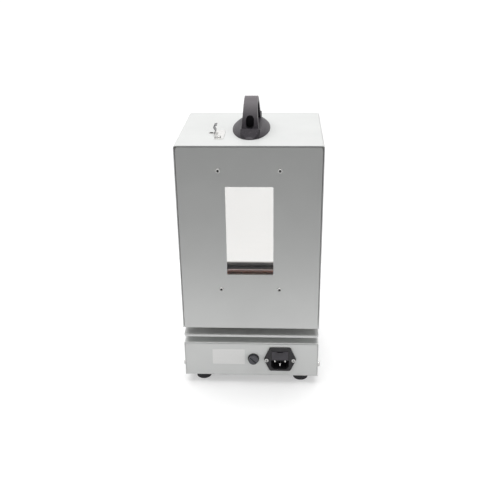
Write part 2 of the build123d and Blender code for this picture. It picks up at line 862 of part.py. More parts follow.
# ---- Probe clip and handle ----
def make_probe_clip():
    """Bent spring clip: a slotted tab on the housing, and a leaf whose jaw stands beside the port."""
    tab_y = rear_y - clip_tab_start - clip_tab_length / 2
    tab = Pos(clip_screw_x, tab_y) * RectangleRounded(clip_tab_width, clip_tab_length, 1)
    clip = plate(tab, housing_top, housing_top + clip_tab_sheet)
    hole = clip_screw_radius + running_gap
    clip -= post(clip_screw_x, clip_screw_y, housing_top - 1, housing_top + 3, hole)
    root_y = rear_y - clip_leaf_end + clip_root_length
    slot_x = clip_tab_outer - clip_slot_width
    slot_y = root_y - clip_slot_length / 2
    slot = Pos(slot_x, slot_y) * SlotOverall(clip_slot_length, clip_slot_width, rotation=90)
    clip -= plate(slot, housing_top - 1, housing_top + 3)
    jaw_x = port_x - port_bore - clip_jaw_gap - clip_sheet / 2
    root = Polyline(
        (clip_tab_outer - 0.8, clip_sheet / 2),
        (clip_tab_outer, clip_sheet / 2),
        (clip_tab_outer + 0.4, clip_root_height),
    )
    jaw = Polyline(
        (clip_tab_outer + 0.4, clip_root_height - 0.4),
        (jaw_x, clip_jaw_height),
        (jaw_x - 0.8, clip_leaf_height),
        (jaw_x - clip_curl, clip_leaf_height + 0.5),
    )
    end_y = rear_y - clip_leaf_end
    for line, length in ((root, clip_root_length), (jaw, clip_jaw_length)):
        clip += slab(Pos(0, housing_top) * trace(line, line_width=clip_sheet), end_y, end_y + length)
    return clip


def make_clip_screw():
    """Pan-head screw of the probe clip."""
    seat_z = housing_top + clip_tab_sheet
    head = post(clip_screw_x, clip_screw_y, seat_z, seat_z + clip_screw_reach, clip_screw_head)
    head = fillet(head.faces().sort_by(Axis.Z)[-1].edges(), clip_screw_reach * 0.6)
    return head + post(clip_screw_x, clip_screw_y, housing_top - sheet - fit_gap, seat_z, clip_screw_radius)


def make_handle_guard():
    """Oval domed guard, with a sloping toe outside each of the handle's feet."""
    half_x = guard_width / 2
    half_y = guard_length / 2
    rim = plate(Ellipse(half_x, half_y), 0, guard_rim)
    levels = ((guard_rim, 1.0, 1.0), (guard_height * 0.65, 0.86, 0.92), (guard_height, 0.6, 0.74))
    rounds = [Plane.XY.offset(z) * Ellipse(half_x * kx, half_y * ky) for z, kx, ky in levels]
    guard = rim + loft(rounds)
    foot_y = bow_length / 2
    slope = ((half_y - 0.6, 0), (half_y - 1.2, guard_rim), (foot_y + 1, guard_toe))
    toe = make_face(Polyline((0, 0), *slope, (0, guard_toe), close=True))
    toes = extrude(Plane.YZ * toe, amount=bow_base_width / 2, both=True)
    toes += mirror(toes, Plane.XZ)
    inside = Rectangle(2 * half_x, 2 * (foot_y - bow_foot))
    toes -= plate(inside, -1, guard_toe + 1)
    toes &= plate(Ellipse(half_x - 0.4, half_y - 0.4), 0, guard_toe + 1)
    guard += toes
    guard -= extrude(Plane.YZ * bow_side(fit_gap), amount=bow_base_width / 2 + fit_gap, both=True)
    return Pos(0, middle_y, housing_top) * guard


def bow_side(margin):
    """Side view of the bow as an arch about the middle of its feet, grown by a margin."""
    outer = Ellipse(bow_length / 2 + margin, bow_height + margin)
    inner = Ellipse(bow_length / 2 - bow_foot - margin, bow_height - bow_strap - margin)
    upper = Rectangle(2 * bow_length, 2 * bow_height + 4, align=(Align.CENTER, Align.MIN))
    return (outer - inner) & Pos(0, -margin) * upper


def bow_feet():
    """Y of the middle of the bow's two feet."""
    reach = (bow_length - bow_foot) / 2
    return [middle_y - reach, middle_y + reach]


def make_handle_bow():
    """Bow handle: an arch that thickens to its feet and narrows to its crest."""
    side = Pos(middle_y, housing_top) * bow_side(0)
    arch = extrude(Plane.YZ * side, amount=bow_base_width, both=True)
    base = bow_base_width / 2
    crest = bow_crest_width / 2
    waist = (base + 2 * crest) / 3
    flank = Spline((base, 0), (waist, bow_height * 0.55), (crest, bow_height + 1))
    front = make_face(flank + [
        Line((crest, bow_height + 1), (-crest, bow_height + 1)),
        mirror(flank, Plane.YZ),
        Line((-base, 0), (base, 0)),
    ])
    width_form = slab(Pos(0, housing_top) * front, middle_y - bow_length, middle_y + bow_length)
    bow = arch & width_form
    for side_sign, y in zip((-1, 1), (middle_y - bow_length / 2, middle_y + bow_length / 2)):
        recess = Pos(0, housing_top + recess_height) * SlotOverall(recess_tall, recess_width, rotation=90)
        y_pair = sorted((y - side_sign * (recess_depth + 4), y + side_sign * 2))
        bow -= slab(recess, *y_pair)
    for y in bow_feet():
        bow -= post(0, y, housing_top, housing_top + handle_screw_reach + 1, screw_radius + running_gap)
    return bow


def handle_screw_pockets(board):
    """A board with room cut out for the heads of the handle's screws."""
    for y in bow_feet():
        low_z = housing_top - sheet - handle_screw_depth - fit_gap
        board -= post(0, y, low_z, housing_top, handle_screw_head + fit_gap)
    return board


def make_handle_screws():
    """Screws up through the housing's top into the handle's feet."""
    screws = []
    for y in bow_feet():
        under = housing_top - sheet
        head = post(0, y, under - handle_screw_depth, under, handle_screw_head)
        shank = post(0, y, under, housing_top + handle_screw_reach, screw_radius)
        screws.append(head + shank)
    return screws


# ---- Inlet ----
def socket_outline():
    """Socket mouth with its two lower corners cut off."""
    mouth = Rectangle(socket_width, socket_height)
    low_corners = mouth.vertices().sort_by(Axis.Y)[:2]
    mouth = chamfer(low_corners, socket_chamfer)
    return Pos(inlet_x, inlet_z - inlet_split - socket_height / 2) * mouth


def drawer_outline(margin=0.0):
    """Front of the fuse drawer, over the socket, grown by a margin."""
    size_x = drawer_width + 2 * margin
    size_z = drawer_height + 2 * margin
    place = Pos(inlet_x, inlet_z + inlet_split + drawer_height / 2)
    return place * RectangleRounded(size_x, size_z, drawer_corner)


def make_inlet_body():
    """Moulded inlet: six-sided flange, socket and the bay of the fuse drawer."""
    body = slab(inlet_outline(), rear_y, rear_y + inlet_flange)
    rim = body.faces().sort_by(Axis.Y)[-1].edges()
    body = fillet(rim, 0.8)
    body += slab(inlet_cutout(0), rear_y - inlet_body_depth, rear_y)
    socket_y = rear_y + inlet_flange - socket_depth
    body -= slab(socket_outline(), socket_y, rear_y + inlet_flange + 1)
    bay_y = rear_y + inlet_flange - drawer_depth - drawer_clear
    body -= slab(drawer_outline(drawer_clear), bay_y, rear_y + inlet_flange + 1)
    for x, z in pin_places():
        blade = Pos(x, z) * Rectangle(pin_width, pin_height)
        body -= slab(blade, rear_y - inlet_body_depth - 1, socket_y + 1)
    for x in inlet_screw_places():
        top_y = rear_y + inlet_flange + 1
        body -= bar_y(x, inlet_screw_z, rear_y - 1, top_y, screw_radius + fit_gap / 2)
        body -= bar_y(x, inlet_screw_z, rear_y + inlet_screw_seat, top_y, inlet_screw_head + fit_gap)
    return body


def inlet_screw_places():
    """X of the inlet's two screws."""
    return [inlet_x - inlet_screw_spacing / 2, inlet_x + inlet_screw_spacing / 2]


def pin_places():
    """(X, Z) of the line, neutral and earth pins."""
    outer = [(inlet_x + side * pin_spacing / 2, inlet_z - pin_drop) for side in (-1, 1)]
    return [*outer, (inlet_x, inlet_z - earth_drop)]


def make_inlet_pins():
    """Three blades in the socket, with solder tails behind the body."""
    tail_y = rear_y - inlet_body_depth - 7
    tip_y = rear_y + inlet_flange - socket_depth + pin_length
    pins = []
    for x, z in pin_places():
        pin = slab(Pos(x, z) * Rectangle(pin_width, pin_height), tail_y, tip_y)
        pin = chamfer(pin.faces().sort_by(Axis.Y)[-1].edges(), 0.5)
        pins.append(pin)
    return pins


def make_inlet_screws():
    """Two screws of the inlet flange."""
    screws = []
    for x in inlet_screw_places():
        seat_y = rear_y + inlet_screw_seat
        face_y = rear_y + inlet_flange + fit_gap
        head = bar_y(x, inlet_screw_z, seat_y, face_y, inlet_screw_head)
        head = fillet(head.faces().sort_by(Axis.Y)[-1].edges(), 0.6)
        shank = bar_y(x, inlet_screw_z, rear_y - 6, seat_y, screw_radius)
        cross = Rectangle(0.7, 3) + Rectangle(3, 0.7)
        cross = slab(Pos(x, inlet_screw_z) * cross, face_y - 0.8, face_y + 1)
        screws.append(head + shank - cross)
    return screws


def make_fuse_drawer():
    """Fuse drawer: a face with a finger notch, and a tray that holds the fuse across it."""
    face_y = rear_y + inlet_flange
    back_y = face_y - drawer_depth
    drawer = slab(drawer_outline(), back_y, face_y + drawer_proud)
    middle_x = inlet_x
    low_z = inlet_z + inlet_split
    half_fuse = fuse_length / 2 + drawer_clear
    tray_y = back_y + 1.2
    drawer -= block(middle_x - half_fuse, middle_x + half_fuse, tray_y, face_y - 5, low_z + 3, low_z + 20)
    notch = Pos(middle_x, low_z + drawer_height - 0.6) * Rectangle(8, 2.4)
    drawer -= slab(notch, face_y - 1.2, face_y + 2)
    return drawer


def make_drawer_fuse():
    """Glass fuse with two metal caps, lying across the drawer."""
    y = rear_y + inlet_flange - drawer_depth / 2 - 2
    z = inlet_z + inlet_split + 3 + fuse_radius + running_gap
    start = Plane(origin=(inlet_x - fuse_length / 2, y, z), x_dir=(0, 1, 0), z_dir=(1, 0, 0))
    fuse = extrude(start * Circle(fuse_radius - fuse_glass_step), amount=fuse_length)
    for shift in (0, fuse_length - fuse_cap_length):
        cap = Plane(origin=(inlet_x - fuse_length / 2 + shift, y, z), x_dir=(0, 1, 0), z_dir=(1, 0, 0))
        fuse += extrude(cap * Circle(fuse_radius), amount=fuse_cap_length)
    return fuse


# ---- Round fuse holder ----
def make_fuse_holder():
    """Panel fuse holder: bezel, barrel, fuse bore and end tag."""
    holder = bar_y(holder_x, holder_z, rear_y, rear_y + holder_bezel_depth, holder_bezel)
    holder = fillet(holder.faces().sort_by(Axis.Y)[-1].edges(), 0.8)
    holder += bar_y(holder_x, holder_z, rear_y - holder_length, rear_y, holder_barrel)
    bore_y = rear_y - holder_length + 3
    holder -= bar_y(holder_x, holder_z, bore_y, rear_y + holder_bezel_depth + 1, holder_bore + running_gap)
    tag = Pos(holder_x, holder_z) * Rectangle(1, 5)
    return holder + slab(tag, rear_y - holder_length - 6, rear_y - holder_length)


def make_holder_nut():
    """Six-sided nut behind the rear of the base."""
    nut = Pos(holder_x, holder_z) * (RegularPolygon(holder_nut, 6) - Circle(holder_barrel + running_gap))
    return slab(nut, rear_y - sheet - holder_nut_depth, rear_y - sheet)


def make_fuse_cap():
    """Turning cap with a screwdriver slot and a bayonet stem."""
    seat_y = rear_y + holder_bezel_depth
    cap = bar_y(holder_x, holder_z, seat_y + running_gap, rear_y + cap_reach, cap_radius)
    cap = fillet(cap.faces().sort_by(Axis.Y)[-1].edges(), 0.8)
    cap += bar_y(holder_x, holder_z, seat_y - cap_stem, seat_y + running_gap, holder_bore)
    slot = Pos(holder_x, holder_z) * Rectangle(cap_slot, 4 * cap_radius, rotation=-45)
    return cap - slab(slot, rear_y + cap_reach - cap_slot_depth, rear_y + cap_reach + 1)


def make_line_fuse():
    """Glass fuse in the round holder."""
    tip_y = rear_y + holder_bezel_depth - cap_stem - fit_gap
    fuse = bar_y(holder_x, holder_z, tip_y - fuse_length, tip_y, fuse_radius - fuse_glass_step)
    for end_y in (tip_y - fuse_length, tip_y - fuse_cap_length):
        fuse += bar_y(holder_x, holder_z, end_y, end_y + fuse_cap_length, fuse_radius)
    return fuse


# ---- Front controls ----
def key_places():
    """(X, Z) of the four keys, two by two."""
    grid = GridLocations(key_pitch_x, key_pitch_z, 2, 2)
    return [(control_x + key_shift + spot.position.X, control_z + spot.position.Y) for spot in grid]


def key_outline(x, z, margin=0.0):
    """Rounded outline of one key, grown by a margin."""
    return Pos(x, z) * RectangleRounded(key_width + 2 * margin, key_height + 2 * margin, 1.5)


def lens_outline(margin=0.0):
    """Outline of the display lens, grown by a margin."""
    place = Pos(control_x + lens_shift, control_z)
    return place * RectangleRounded(lens_width + 2 * margin, lens_height + 2 * margin, 1.2)


def make_controller():
    """Panel controller: a moulded bezel in front of the base and its case behind."""
    face_y = front_y - bezel_depth
    bezel = Pos(control_x, control_z) * RectangleRounded(bezel_width, bezel_height, 3)
    body = slab(bezel, face_y, front_y)
    body = fillet(body.faces().sort_by(Axis.Y)[0].edges(), 1.5)
    body += slab(control_cutout(0), front_y, front_y + control_depth)
    body -= slab(lens_outline(running_gap), face_y - 1, face_y + lens_thickness)
    for x, z in key_places():
        body -= slab(key_outline(x, z, key_clear), face_y - 1, face_y + key_depth)
    return body


def make_display_lens():
    """Clear window of the display."""
    face_y = front_y - bezel_depth
    return slab(lens_outline(), face_y, face_y + lens_thickness)


def make_key(x, z):
    """One sprung key, with a dished face."""
    face_y = front_y - bezel_depth
    back_y = face_y + key_depth - key_travel - fit_gap
    key = slab(key_outline(x, z), face_y - key_reach, back_y)
    return fillet(key.faces().sort_by(Axis.Y)[0].edges(), 0.6)


def make_switch_frame():
    """Frame and case of the mains switch, open at the front for the rocker."""
    face_y = front_y - switch_flange
    flange = Pos(switch_x, control_z) * RectangleRounded(switch_width, switch_height, 2)
    frame = slab(flange, face_y, front_y)
    frame = fillet(frame.faces().sort_by(Axis.Y)[0].edges(), 0.8)
    frame += slab(switch_cutout(0), front_y, front_y + switch_depth)
    room_x = rocker_width + 2 * fit_gap
    room_z = rocker_height + 2 * rocker_room + 1
    room = Pos(switch_x, control_z) * Rectangle(room_x, room_z)
    return frame - slab(room, face_y - 1, front_y + rocker_pivot + 8)


def make_switch_rocker():
    """Rocker with a dipped face on its pivot, resting with its lower half pressed."""
    half = rocker_height / 2
    front = -rocker_reach
    pivot = rocker_pivot
    profile = make_face([
        Line((front, half), (pivot, half * 0.8)),
        ThreePointArc((pivot, half * 0.8), (pivot + 4.5, 0), (pivot, -half * 0.8)),
        Line((pivot, -half * 0.8), (front, -half)),
        ThreePointArc((front, -half), (front + rocker_dip, 0), (front, half)),
    ])
    rocker = extrude(Plane.YZ * profile, amount=rocker_width / 2, both=True)
    turn = Axis((0, pivot, 0), (1, 0, 0))
    rocker = rocker.rotate(turn, rocker_half_tilt)
    return Pos(switch_x, front_y, control_z) * rocker


# ---- Door ----
def door_outline(margin=0.0):
    """Outline of the door, grown by a margin."""
    size = (2 * (door_x + margin), door_height + 2 * margin, max(door_corner + margin, 0.5))
    return Pos(0, door_mid) * RectangleRounded(*size)


def door_window(margin=0.0):
    """Window in the door's face, grown by a margin."""
    size_x = 2 * (door_x - door_bar + margin)
    size_z = door_height - 2 * door_bar + 2 * margin
    return Pos(0, door_mid) * RectangleRounded(size_x, size_z, 3)


def make_door_outer():
    """Folded outer pan of the door: a face with the window and four walls."""
    pan = slab(door_outline(), door_front_y, door_back_y)
    pan = fillet(pan.faces().sort_by(Axis.Y)[0].edges(), 1.5)
    pan -= slab(door_outline(-sheet), door_front_y + sheet, door_back_y + 1)
    pan -= slab(door_window(), door_front_y - 1, door_front_y + 2 * sheet)
    return pan - bar_y(knob_x, knob_z, door_front_y - 1, door_front_y + 2 * sheet, knob_screw + running_gap)


def make_door_glass():
    """Pane behind the door's face."""
    return slab(door_window(door_glass_lap), door_front_y + sheet, door_front_y + sheet + glass_thickness)


def inner_window(margin=0.0):
    """Window in the door's inner panel, grown by a margin."""
    size_x = 2 * (door_x - door_inner_bar + margin)
    low_z = sill_z - 3 - margin
    high_z = door_top - door_inner_bar + margin
    return Pos(0, (low_z + high_z) / 2) * RectangleRounded(size_x, high_z - low_z, 3)


def make_door_inner():
    """Inner panel of the door, with a rib that clamps the pane."""
    panel = slab(door_outline(-sheet - fit_gap), door_back_y - sheet, door_back_y)
    rib_front = door_front_y + sheet + glass_thickness
    panel += slab(inner_window(door_rib), rib_front, door_back_y - sheet)
    return panel - slab(inner_window(), door_front_y, door_back_y + 1)


def make_door_seal():
    """Woven seal round the door's inner window, just off the front of the housing."""
    seal = inner_window(1 + seal_width) - inner_window(1)
    seal = slab(seal, door_back_y, front_y - seal_squeeze)
    return seal


def make_door_knob():
    """Turned pull knob with a stem through the door's face."""
    stands_on = (Align.CENTER, Align.CENTER, Align.MIN)
    stem = Cylinder(knob_screw, 6, align=(Align.CENTER, Align.CENTER, Align.MAX))
    neck = Cone(knob_stem + 2, knob_stem, knob_neck + 2, align=stands_on)
    head = Pos(0, 0, knob_neck) * Cylinder(knob_radius, knob_reach - knob_neck, align=stands_on)
    head = fillet(head.edges().filter_by(GeomType.CIRCLE).sort_by(Axis.Z)[0], knob_radius - knob_stem)
    head = fillet(head.edges().filter_by(GeomType.CIRCLE).sort_by(Axis.Z)[-1], knob_edge)
    knob = stem + neck + head
    return Pos(knob_x, door_front_y, knob_z) * Rot(90, 0, 0) * knob


def make_catch_magnet():
    """Magnet of the catch on the housing's front."""
    return bar_y(magnet_x, knob_z, front_y - magnet_depth, front_y, magnet_radius)


def make_catch_keeper():
    """Steel keeper of the catch on the door."""
    return bar_y(magnet_x, knob_z, door_back_y, door_back_y + keeper_depth, keeper_radius)


# ---- Hinges ----
def hinge_levels():
    """Bottom of each hinge."""
    return [door_bottom + hinge_end_inset, door_top - hinge_end_inset - hinge_length]


def knuckle(z_low, z_high):
    """Barrel of a hinge leaf about the pin's axis."""
    return post(hinge_x, hinge_y, z_low, z_high, knuckle_radius)


def make_hinge_body_leaves():
    """Leaves on the housing's side, with a knuckle at each end."""
    third = hinge_length / 3
    leaves = []
    for z in hinge_levels():
        leaf = block(-side_x - hinge_leaf, -side_x, hinge_y, front_y + hinge_leaf_depth, z, z + hinge_length)
        room_x = (-side_x - 2 * hinge_leaf, -door_x)
        middle = block(*room_x, hinge_y - 4, front_y - fit_gap, z + third, z + 2 * third)
        leaf = leaf - middle + knuckle(z, z + third) + knuckle(z + 2 * third, z + hinge_length)
        leaf -= post(hinge_x, hinge_y, z - 1, z + hinge_length + 1, hinge_pin_radius + 0.02)
        leaves.append(leaf)
    return leaves


def make_hinge_door_leaves():
    """Leaves on the door's side, each with the middle knuckle."""
    third = hinge_length / 3
    leaves = []
    for z in hinge_levels():
        z_low = z + third + fit_gap
        z_high = z + 2 * third - fit_gap
        leaf = block(-door_x - hinge_leaf, -door_x, door_front_y + 2, hinge_y, z_low, z_high)
        leaf += knuckle(z_low, z_high)
        leaf -= post(hinge_x, hinge_y, z - 1, z + hinge_length + 1, hinge_pin_radius + running_gap)
        leaves.append(leaf)
    return leaves


def make_hinge_pins():
    """Headed pins of the hinges."""
    pins = []
    for z in hinge_levels():
        pin = post(hinge_x, hinge_y, z, z + hinge_length, hinge_pin_radius)
        pin += post(hinge_x, hinge_y, z + hinge_length, z + hinge_length + pin_head_height, pin_head_radius)
        pins.append(pin)
    return pins


# ---- Build every node ----
nodes = {
    "feet": make_feet(),
    "foot_screws": make_foot_screws(),
    "base_pan": make_base_pan(),
    "base_cover": make_base_cover(),
    "base_cover_screws": make_cover_screws(),
    "relay": make_relay(),
    "terminal_block": make_terminal_block(),
    "spacers": make_spacers(),
    "shield_plate": make_shield_plate(),
    "wire_duct": make_wire_duct(),
    "housing_wrap": make_housing_wrap(),
    "housing_floor": make_housing_floor(),
    "rear_panel": make_rear_panel(),
    "rear_glass": make_rear_glass(),
    "rear_glass_frame": make_rear_glass_frame(),
    "rear_frame_screws": make_frame_screws(),
    "front_frame": make_front_frame(),
    "chamber_liner": make_chamber_liner(),
    "insulation_sides": make_insulation_sides(),
    "insulation_top": make_insulation_top(),
    "insulation_bottom": make_insulation_bottom(),
    "insulation_back": make_insulation_back(),
    "heater_element": make_heater_element(),
    "heater_brackets": make_heater_brackets(),
    "heater_bushes": make_heater_bushes(),
    "temperature_sensor": make_temperature_sensor(),
    "limit_thermostat": make_thermostat(),
    "probe_bush": make_probe_bush(),
    "probe_clip": make_probe_clip(),
    "clip_screw": make_clip_screw(),
    "handle_guard": make_handle_guard(),
    "handle_bow": make_handle_bow(),
    "handle_screws": make_handle_screws(),
    "inlet_body": make_inlet_body(),
    "inlet_pins": make_inlet_pins(),
    "inlet_screws": make_inlet_screws(),
    "fuse_drawer": make_fuse_drawer(),
    "drawer_fuse": make_drawer_fuse(),
    "fuse_holder": make_fuse_holder(),
    "fuse_holder_nut": make_holder_nut(),
    "fuse_cap": make_fuse_cap(),
    "line_fuse": make_line_fuse(),
    "controller": make_controller(),
    "display_lens": make_display_lens(),
    "switch_frame": make_switch_frame(),
    "switch_rocker": make_switch_rocker(),
    "door_outer": make_door_outer(),
    "door_inner": make_door_inner(),
    "door_glass": make_door_glass(),
    "door_seal": make_door_seal(),
    "door_knob": make_door_knob(),
    "catch_magnet": make_catch_magnet(),
    "catch_keeper": make_catch_keeper(),
    "hinge_body_leaves": make_hinge_body_leaves(),
    "hinge_door_leaves": make_hinge_door_leaves(),
    "hinge_pins": make_hinge_pins(),
}
for number, (x, z) in enumerate(key_places(), start=1):
    nodes[f"key_{number}"] = make_key(x, z)

os.makedirs("parts", exist_ok=True)
for name, shape in nodes.items():
    pieces = shape if isinstance(shape, list) else [shape]
    export_step(Compound(children=pieces), f"parts/{name}.step")
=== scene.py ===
"""Finish, markings, small fittings and studio stage of a compact bench furnace.

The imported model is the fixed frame. Each CAD node keeps its shape and gets a procedural finish, and
the small pieces that the CAD leaves out are numpy surfaces that ride on the bodies they belong to.
Lengths are metres, +Z is up, the door faces -Y and the mains inlet faces +Y.
"""

import math

import bpy
import numpy as np
from bpy.props import FloatProperty, FloatVectorProperty, PointerProperty
from mathutils import Matrix, Vector


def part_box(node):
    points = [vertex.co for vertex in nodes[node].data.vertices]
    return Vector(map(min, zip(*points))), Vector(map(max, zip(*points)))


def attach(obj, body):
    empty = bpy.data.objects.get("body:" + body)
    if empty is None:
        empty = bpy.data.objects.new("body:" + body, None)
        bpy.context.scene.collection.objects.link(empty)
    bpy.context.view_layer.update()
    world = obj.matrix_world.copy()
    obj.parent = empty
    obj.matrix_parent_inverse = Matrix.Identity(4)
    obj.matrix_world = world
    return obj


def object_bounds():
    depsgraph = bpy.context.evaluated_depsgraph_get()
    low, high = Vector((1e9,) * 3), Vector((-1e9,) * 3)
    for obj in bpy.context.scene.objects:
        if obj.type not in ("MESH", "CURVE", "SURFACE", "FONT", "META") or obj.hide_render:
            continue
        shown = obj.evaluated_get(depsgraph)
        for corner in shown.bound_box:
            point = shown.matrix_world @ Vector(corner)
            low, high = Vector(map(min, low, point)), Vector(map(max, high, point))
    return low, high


bl_info = {
    "name": "Bench Furnace",
    "version": (1, 0, 0),
    "blender": (4, 5, 0),
    "location": "View3D > Sidebar > Furnace",
    "description": "Finishes and small fittings of a compact bench furnace",
    "category": "Object",
}

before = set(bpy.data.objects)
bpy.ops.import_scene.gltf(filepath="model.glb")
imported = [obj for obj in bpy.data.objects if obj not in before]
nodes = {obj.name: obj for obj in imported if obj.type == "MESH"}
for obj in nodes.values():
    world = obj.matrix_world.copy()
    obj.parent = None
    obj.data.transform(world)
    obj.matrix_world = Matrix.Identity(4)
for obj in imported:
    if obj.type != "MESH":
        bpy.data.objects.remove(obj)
cad_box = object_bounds()
MM = 0.001
X_AXIS = np.array((1.0, 0.0, 0.0))
Y_AXIS = np.array((0.0, 1.0, 0.0))
Z_AXIS = np.array((0.0, 0.0, 1.0))
CAST_START = 20 * MM


# ---- Node material helpers ----
class Finish:
    """A material under construction: a Principled shader and short calls that feed it."""

    def __init__(self, name):
        self.material = bpy.data.materials.new(name)
        self.material.use_nodes = True
        self.tree = self.material.node_tree
        self.shader = self.tree.nodes["Principled BSDF"]
        self.place = self.tree.nodes.new("ShaderNodeTexCoord").outputs["Object"]

    def node(self, kind, **values):
        """Add a node, with its plain attributes set."""
        made = self.tree.nodes.new(kind)
        for key, value in values.items():
            setattr(made, key, value)
        return made

    def link(self, start, end):
        """Join two sockets."""
        self.tree.links.new(start, end)

    def set(self, **sockets):
        """Set the shader's own sockets, with underscores for spaces."""
        for key, value in sockets.items():
            self.shader.inputs[key.replace("_", " ")].default_value = value

    def stretched(self, scale):
        """Object coordinates scaled separately along X, Y and Z."""
        mapping = self.node("ShaderNodeMapping")
        mapping.inputs["Scale"].default_value = scale
        mapping.inputs["Location"].default_value = (3.7, 5.3, 2.9)
        self.link(self.place, mapping.inputs["Vector"])
        return mapping.outputs["Vector"]

    def noise(self, scale, detail=3.0, roughness=0.5, vector=None):
        """Value of a noise texture, with its scale in waves per metre."""
        made = self.node("ShaderNodeTexNoise")
        made.inputs["Scale"].default_value = scale
        made.inputs["Detail"].default_value = detail
        made.inputs["Roughness"].default_value = roughness
        self.link(vector or self.place, made.inputs["Vector"])
        return made.outputs["Fac"]

    def ramp(self, value, stops):
        """Colour ramp of (position, colour) stops."""
        made = self.node("ShaderNodeValToRGB")
        elements = made.color_ramp.elements
        while len(elements) < len(stops):
            elements.new(0.5)
        for element, (position, colour) in zip(elements, stops):
            element.position = position
            element.color = (*colour[:3], 1.0)
        self.link(value, made.inputs["Fac"])
        return made.outputs["Color"]

    def remap(self, value, low, high, from_low=0.3, from_high=0.7):
        """Clamped linear remap of a value."""
        made = self.node("ShaderNodeMapRange")
        made.inputs["From Min"].default_value = from_low
        made.inputs["From Max"].default_value = from_high
        made.inputs["To Min"].default_value = low
        made.inputs["To Max"].default_value = high
        self.link(value, made.inputs["Value"])
        return made.outputs["Result"]

    def mix(self, factor, first, second):
        """Mix of two colours, each a plain colour or a socket."""
        made = self.node("ShaderNodeMix", data_type="RGBA")
        self.link(factor, made.inputs["Factor"])
        for socket, colour in ((made.inputs["A"], first), (made.inputs["B"], second)):
            if isinstance(colour, bpy.types.NodeSocket):
                self.link(colour, socket)
            else:
                socket.default_value = (*colour[:3], 1.0)
        return made.outputs["Result"]

    def math(self, operation, first, second):
        """Two-input Math node on sockets or numbers."""
        made = self.node("ShaderNodeMath", operation=operation)
        for socket, value in zip(made.inputs, (first, second)):
            if isinstance(value, bpy.types.NodeSocket):
                self.link(value, socket)
            else:
                socket.default_value = value
        return made.outputs["Value"]

    def blend(self, value, first, second, most=1.0):
        """Mix of two colours by a texture's value; most is the second colour's top share."""
        return self.mix(self.remap(value, 0.0, most), first, second)

    def level(self):
        """Height of each point over the floor, in metres."""
        split = self.node("ShaderNodeSeparateXYZ")
        self.link(self.place, split.inputs["Vector"])
        return split.outputs["Z"]

    def colour(self, socket):
        """Feed the base colour."""
        self.link(socket, self.shader.inputs["Base Color"])

    def roughness(self, socket):
        """Feed the roughness."""
        self.link(socket, self.shader.inputs["Roughness"])

    def bump(self, height, depth, strength=1.0):
        """Feed the normal from a height value, with the depth in metres."""
        made = self.node("ShaderNodeBump")
        made.inputs["Strength"].default_value = strength
        made.inputs["Distance"].default_value = depth
        self.link(height, made.inputs["Height"])
        self.link(made.outputs["Normal"], self.shader.inputs["Normal"])

    def wear(self, low, high):
        """Value that is 1 on worn convex edges and 0 elsewhere."""
        geometry = self.node("ShaderNodeNewGeometry")
        return self.remap(geometry.outputs["Pointiness"], 0.0, 1.0, low, high)


def shade(colour, factor):
    """A colour made darker or lighter by a factor."""
    return tuple(min(1.0, channel * factor) for channel in colour[:3])


# ---- Finishes ----
def powder_coat(name, colour):
    """Satin powder coat: fine orange peel, faint cloudiness and a little handling sheen."""
    finish = Finish(name)
    cloud = finish.noise(14.0, 4.0)
    finish.colour(finish.blend(cloud, shade(colour, 0.965), shade(colour, 1.02)))
    peel = finish.noise(1500.0, 2.0)
    speckle = finish.noise(4200.0, 1.0)
    height = finish.math("ADD", peel, finish.math("MULTIPLY", speckle, 0.4))
    finish.bump(height, 0.00006, 0.35)
    finish.roughness(finish.remap(finish.noise(60.0, 3.0), 0.42, 0.5))
    finish.set(Specular_IOR_Level=0.45)
    return finish.material


def brushed_metal(name, colour, grain, roughness=0.3, tint=0.9):
    """Metal brushed along one axis; grain is the waves per metre along X, Y and Z."""
    finish = Finish(name)
    lines = finish.noise(1.0, 5.0, 0.6, finish.stretched(grain))
    cloud = finish.noise(35.0, 3.0)
    base = finish.blend(lines, shade(colour, tint), colour)
    finish.colour(finish.blend(cloud, base, shade(colour, 0.85), 0.35))
    finish.roughness(finish.remap(lines, roughness - 0.07, roughness + 0.1))
    finish.bump(lines, 0.00004, 0.3)
    finish.set(Metallic=1.0)
    return finish.material


def bright_metal(name, colour, roughness=0.16):
    """Plain bright metal with fine handling marks."""
    finish = Finish(name)
    marks = finish.noise(900.0, 4.0)
    finish.colour(finish.blend(marks, shade(colour, 0.88), colour))
    finish.roughness(finish.remap(marks, roughness, roughness + 0.12))
    finish.bump(marks, 0.00002, 0.25)
    finish.set(Metallic=1.0)
    return finish.material


def port_steel(name, colour, dark, level):
    """Stainless bush, with painted shade inside its bore below a level in metres."""
    finish = Finish(name)
    marks = finish.noise(600.0, 3.0)
    # Painted shade: below the level the bush turns dark, standing in for the shade deep in its bore.
    inside = finish.remap(finish.level(), 1.0, 0.0, level - 0.0002, level)
    finish.colour(finish.mix(inside, shade(colour, 0.9), dark))
    finish.roughness(finish.remap(marks, 0.25, 0.4))
    finish.bump(marks, 0.00002, 0.3)
    finish.set(Metallic=1.0)
    return finish.material


def sprung_steel(name, colour, clip_dark_reflection, level):
    """Polished spring steel, bright at its seat, with a painted dark reflection above a level in
    metres.
    """
    finish = Finish(name)
    marks = finish.noise(420.0, 4.0)
    height = finish.math("ADD", finish.level(), finish.math("MULTIPLY", marks, 0.004))
    upper = finish.remap(height, 0.0, 1.0, level, level + 0.0025)
    # Painted reflection: above the level the clip turns dark, standing in for the dark surroundings it
    # mirrors.
    finish.colour(finish.mix(upper, colour, clip_dark_reflection))
    finish.roughness(finish.remap(marks, 0.12, 0.26))
    finish.bump(marks, 0.00003, 0.3)
    finish.set(Metallic=1.0)
    return finish.material


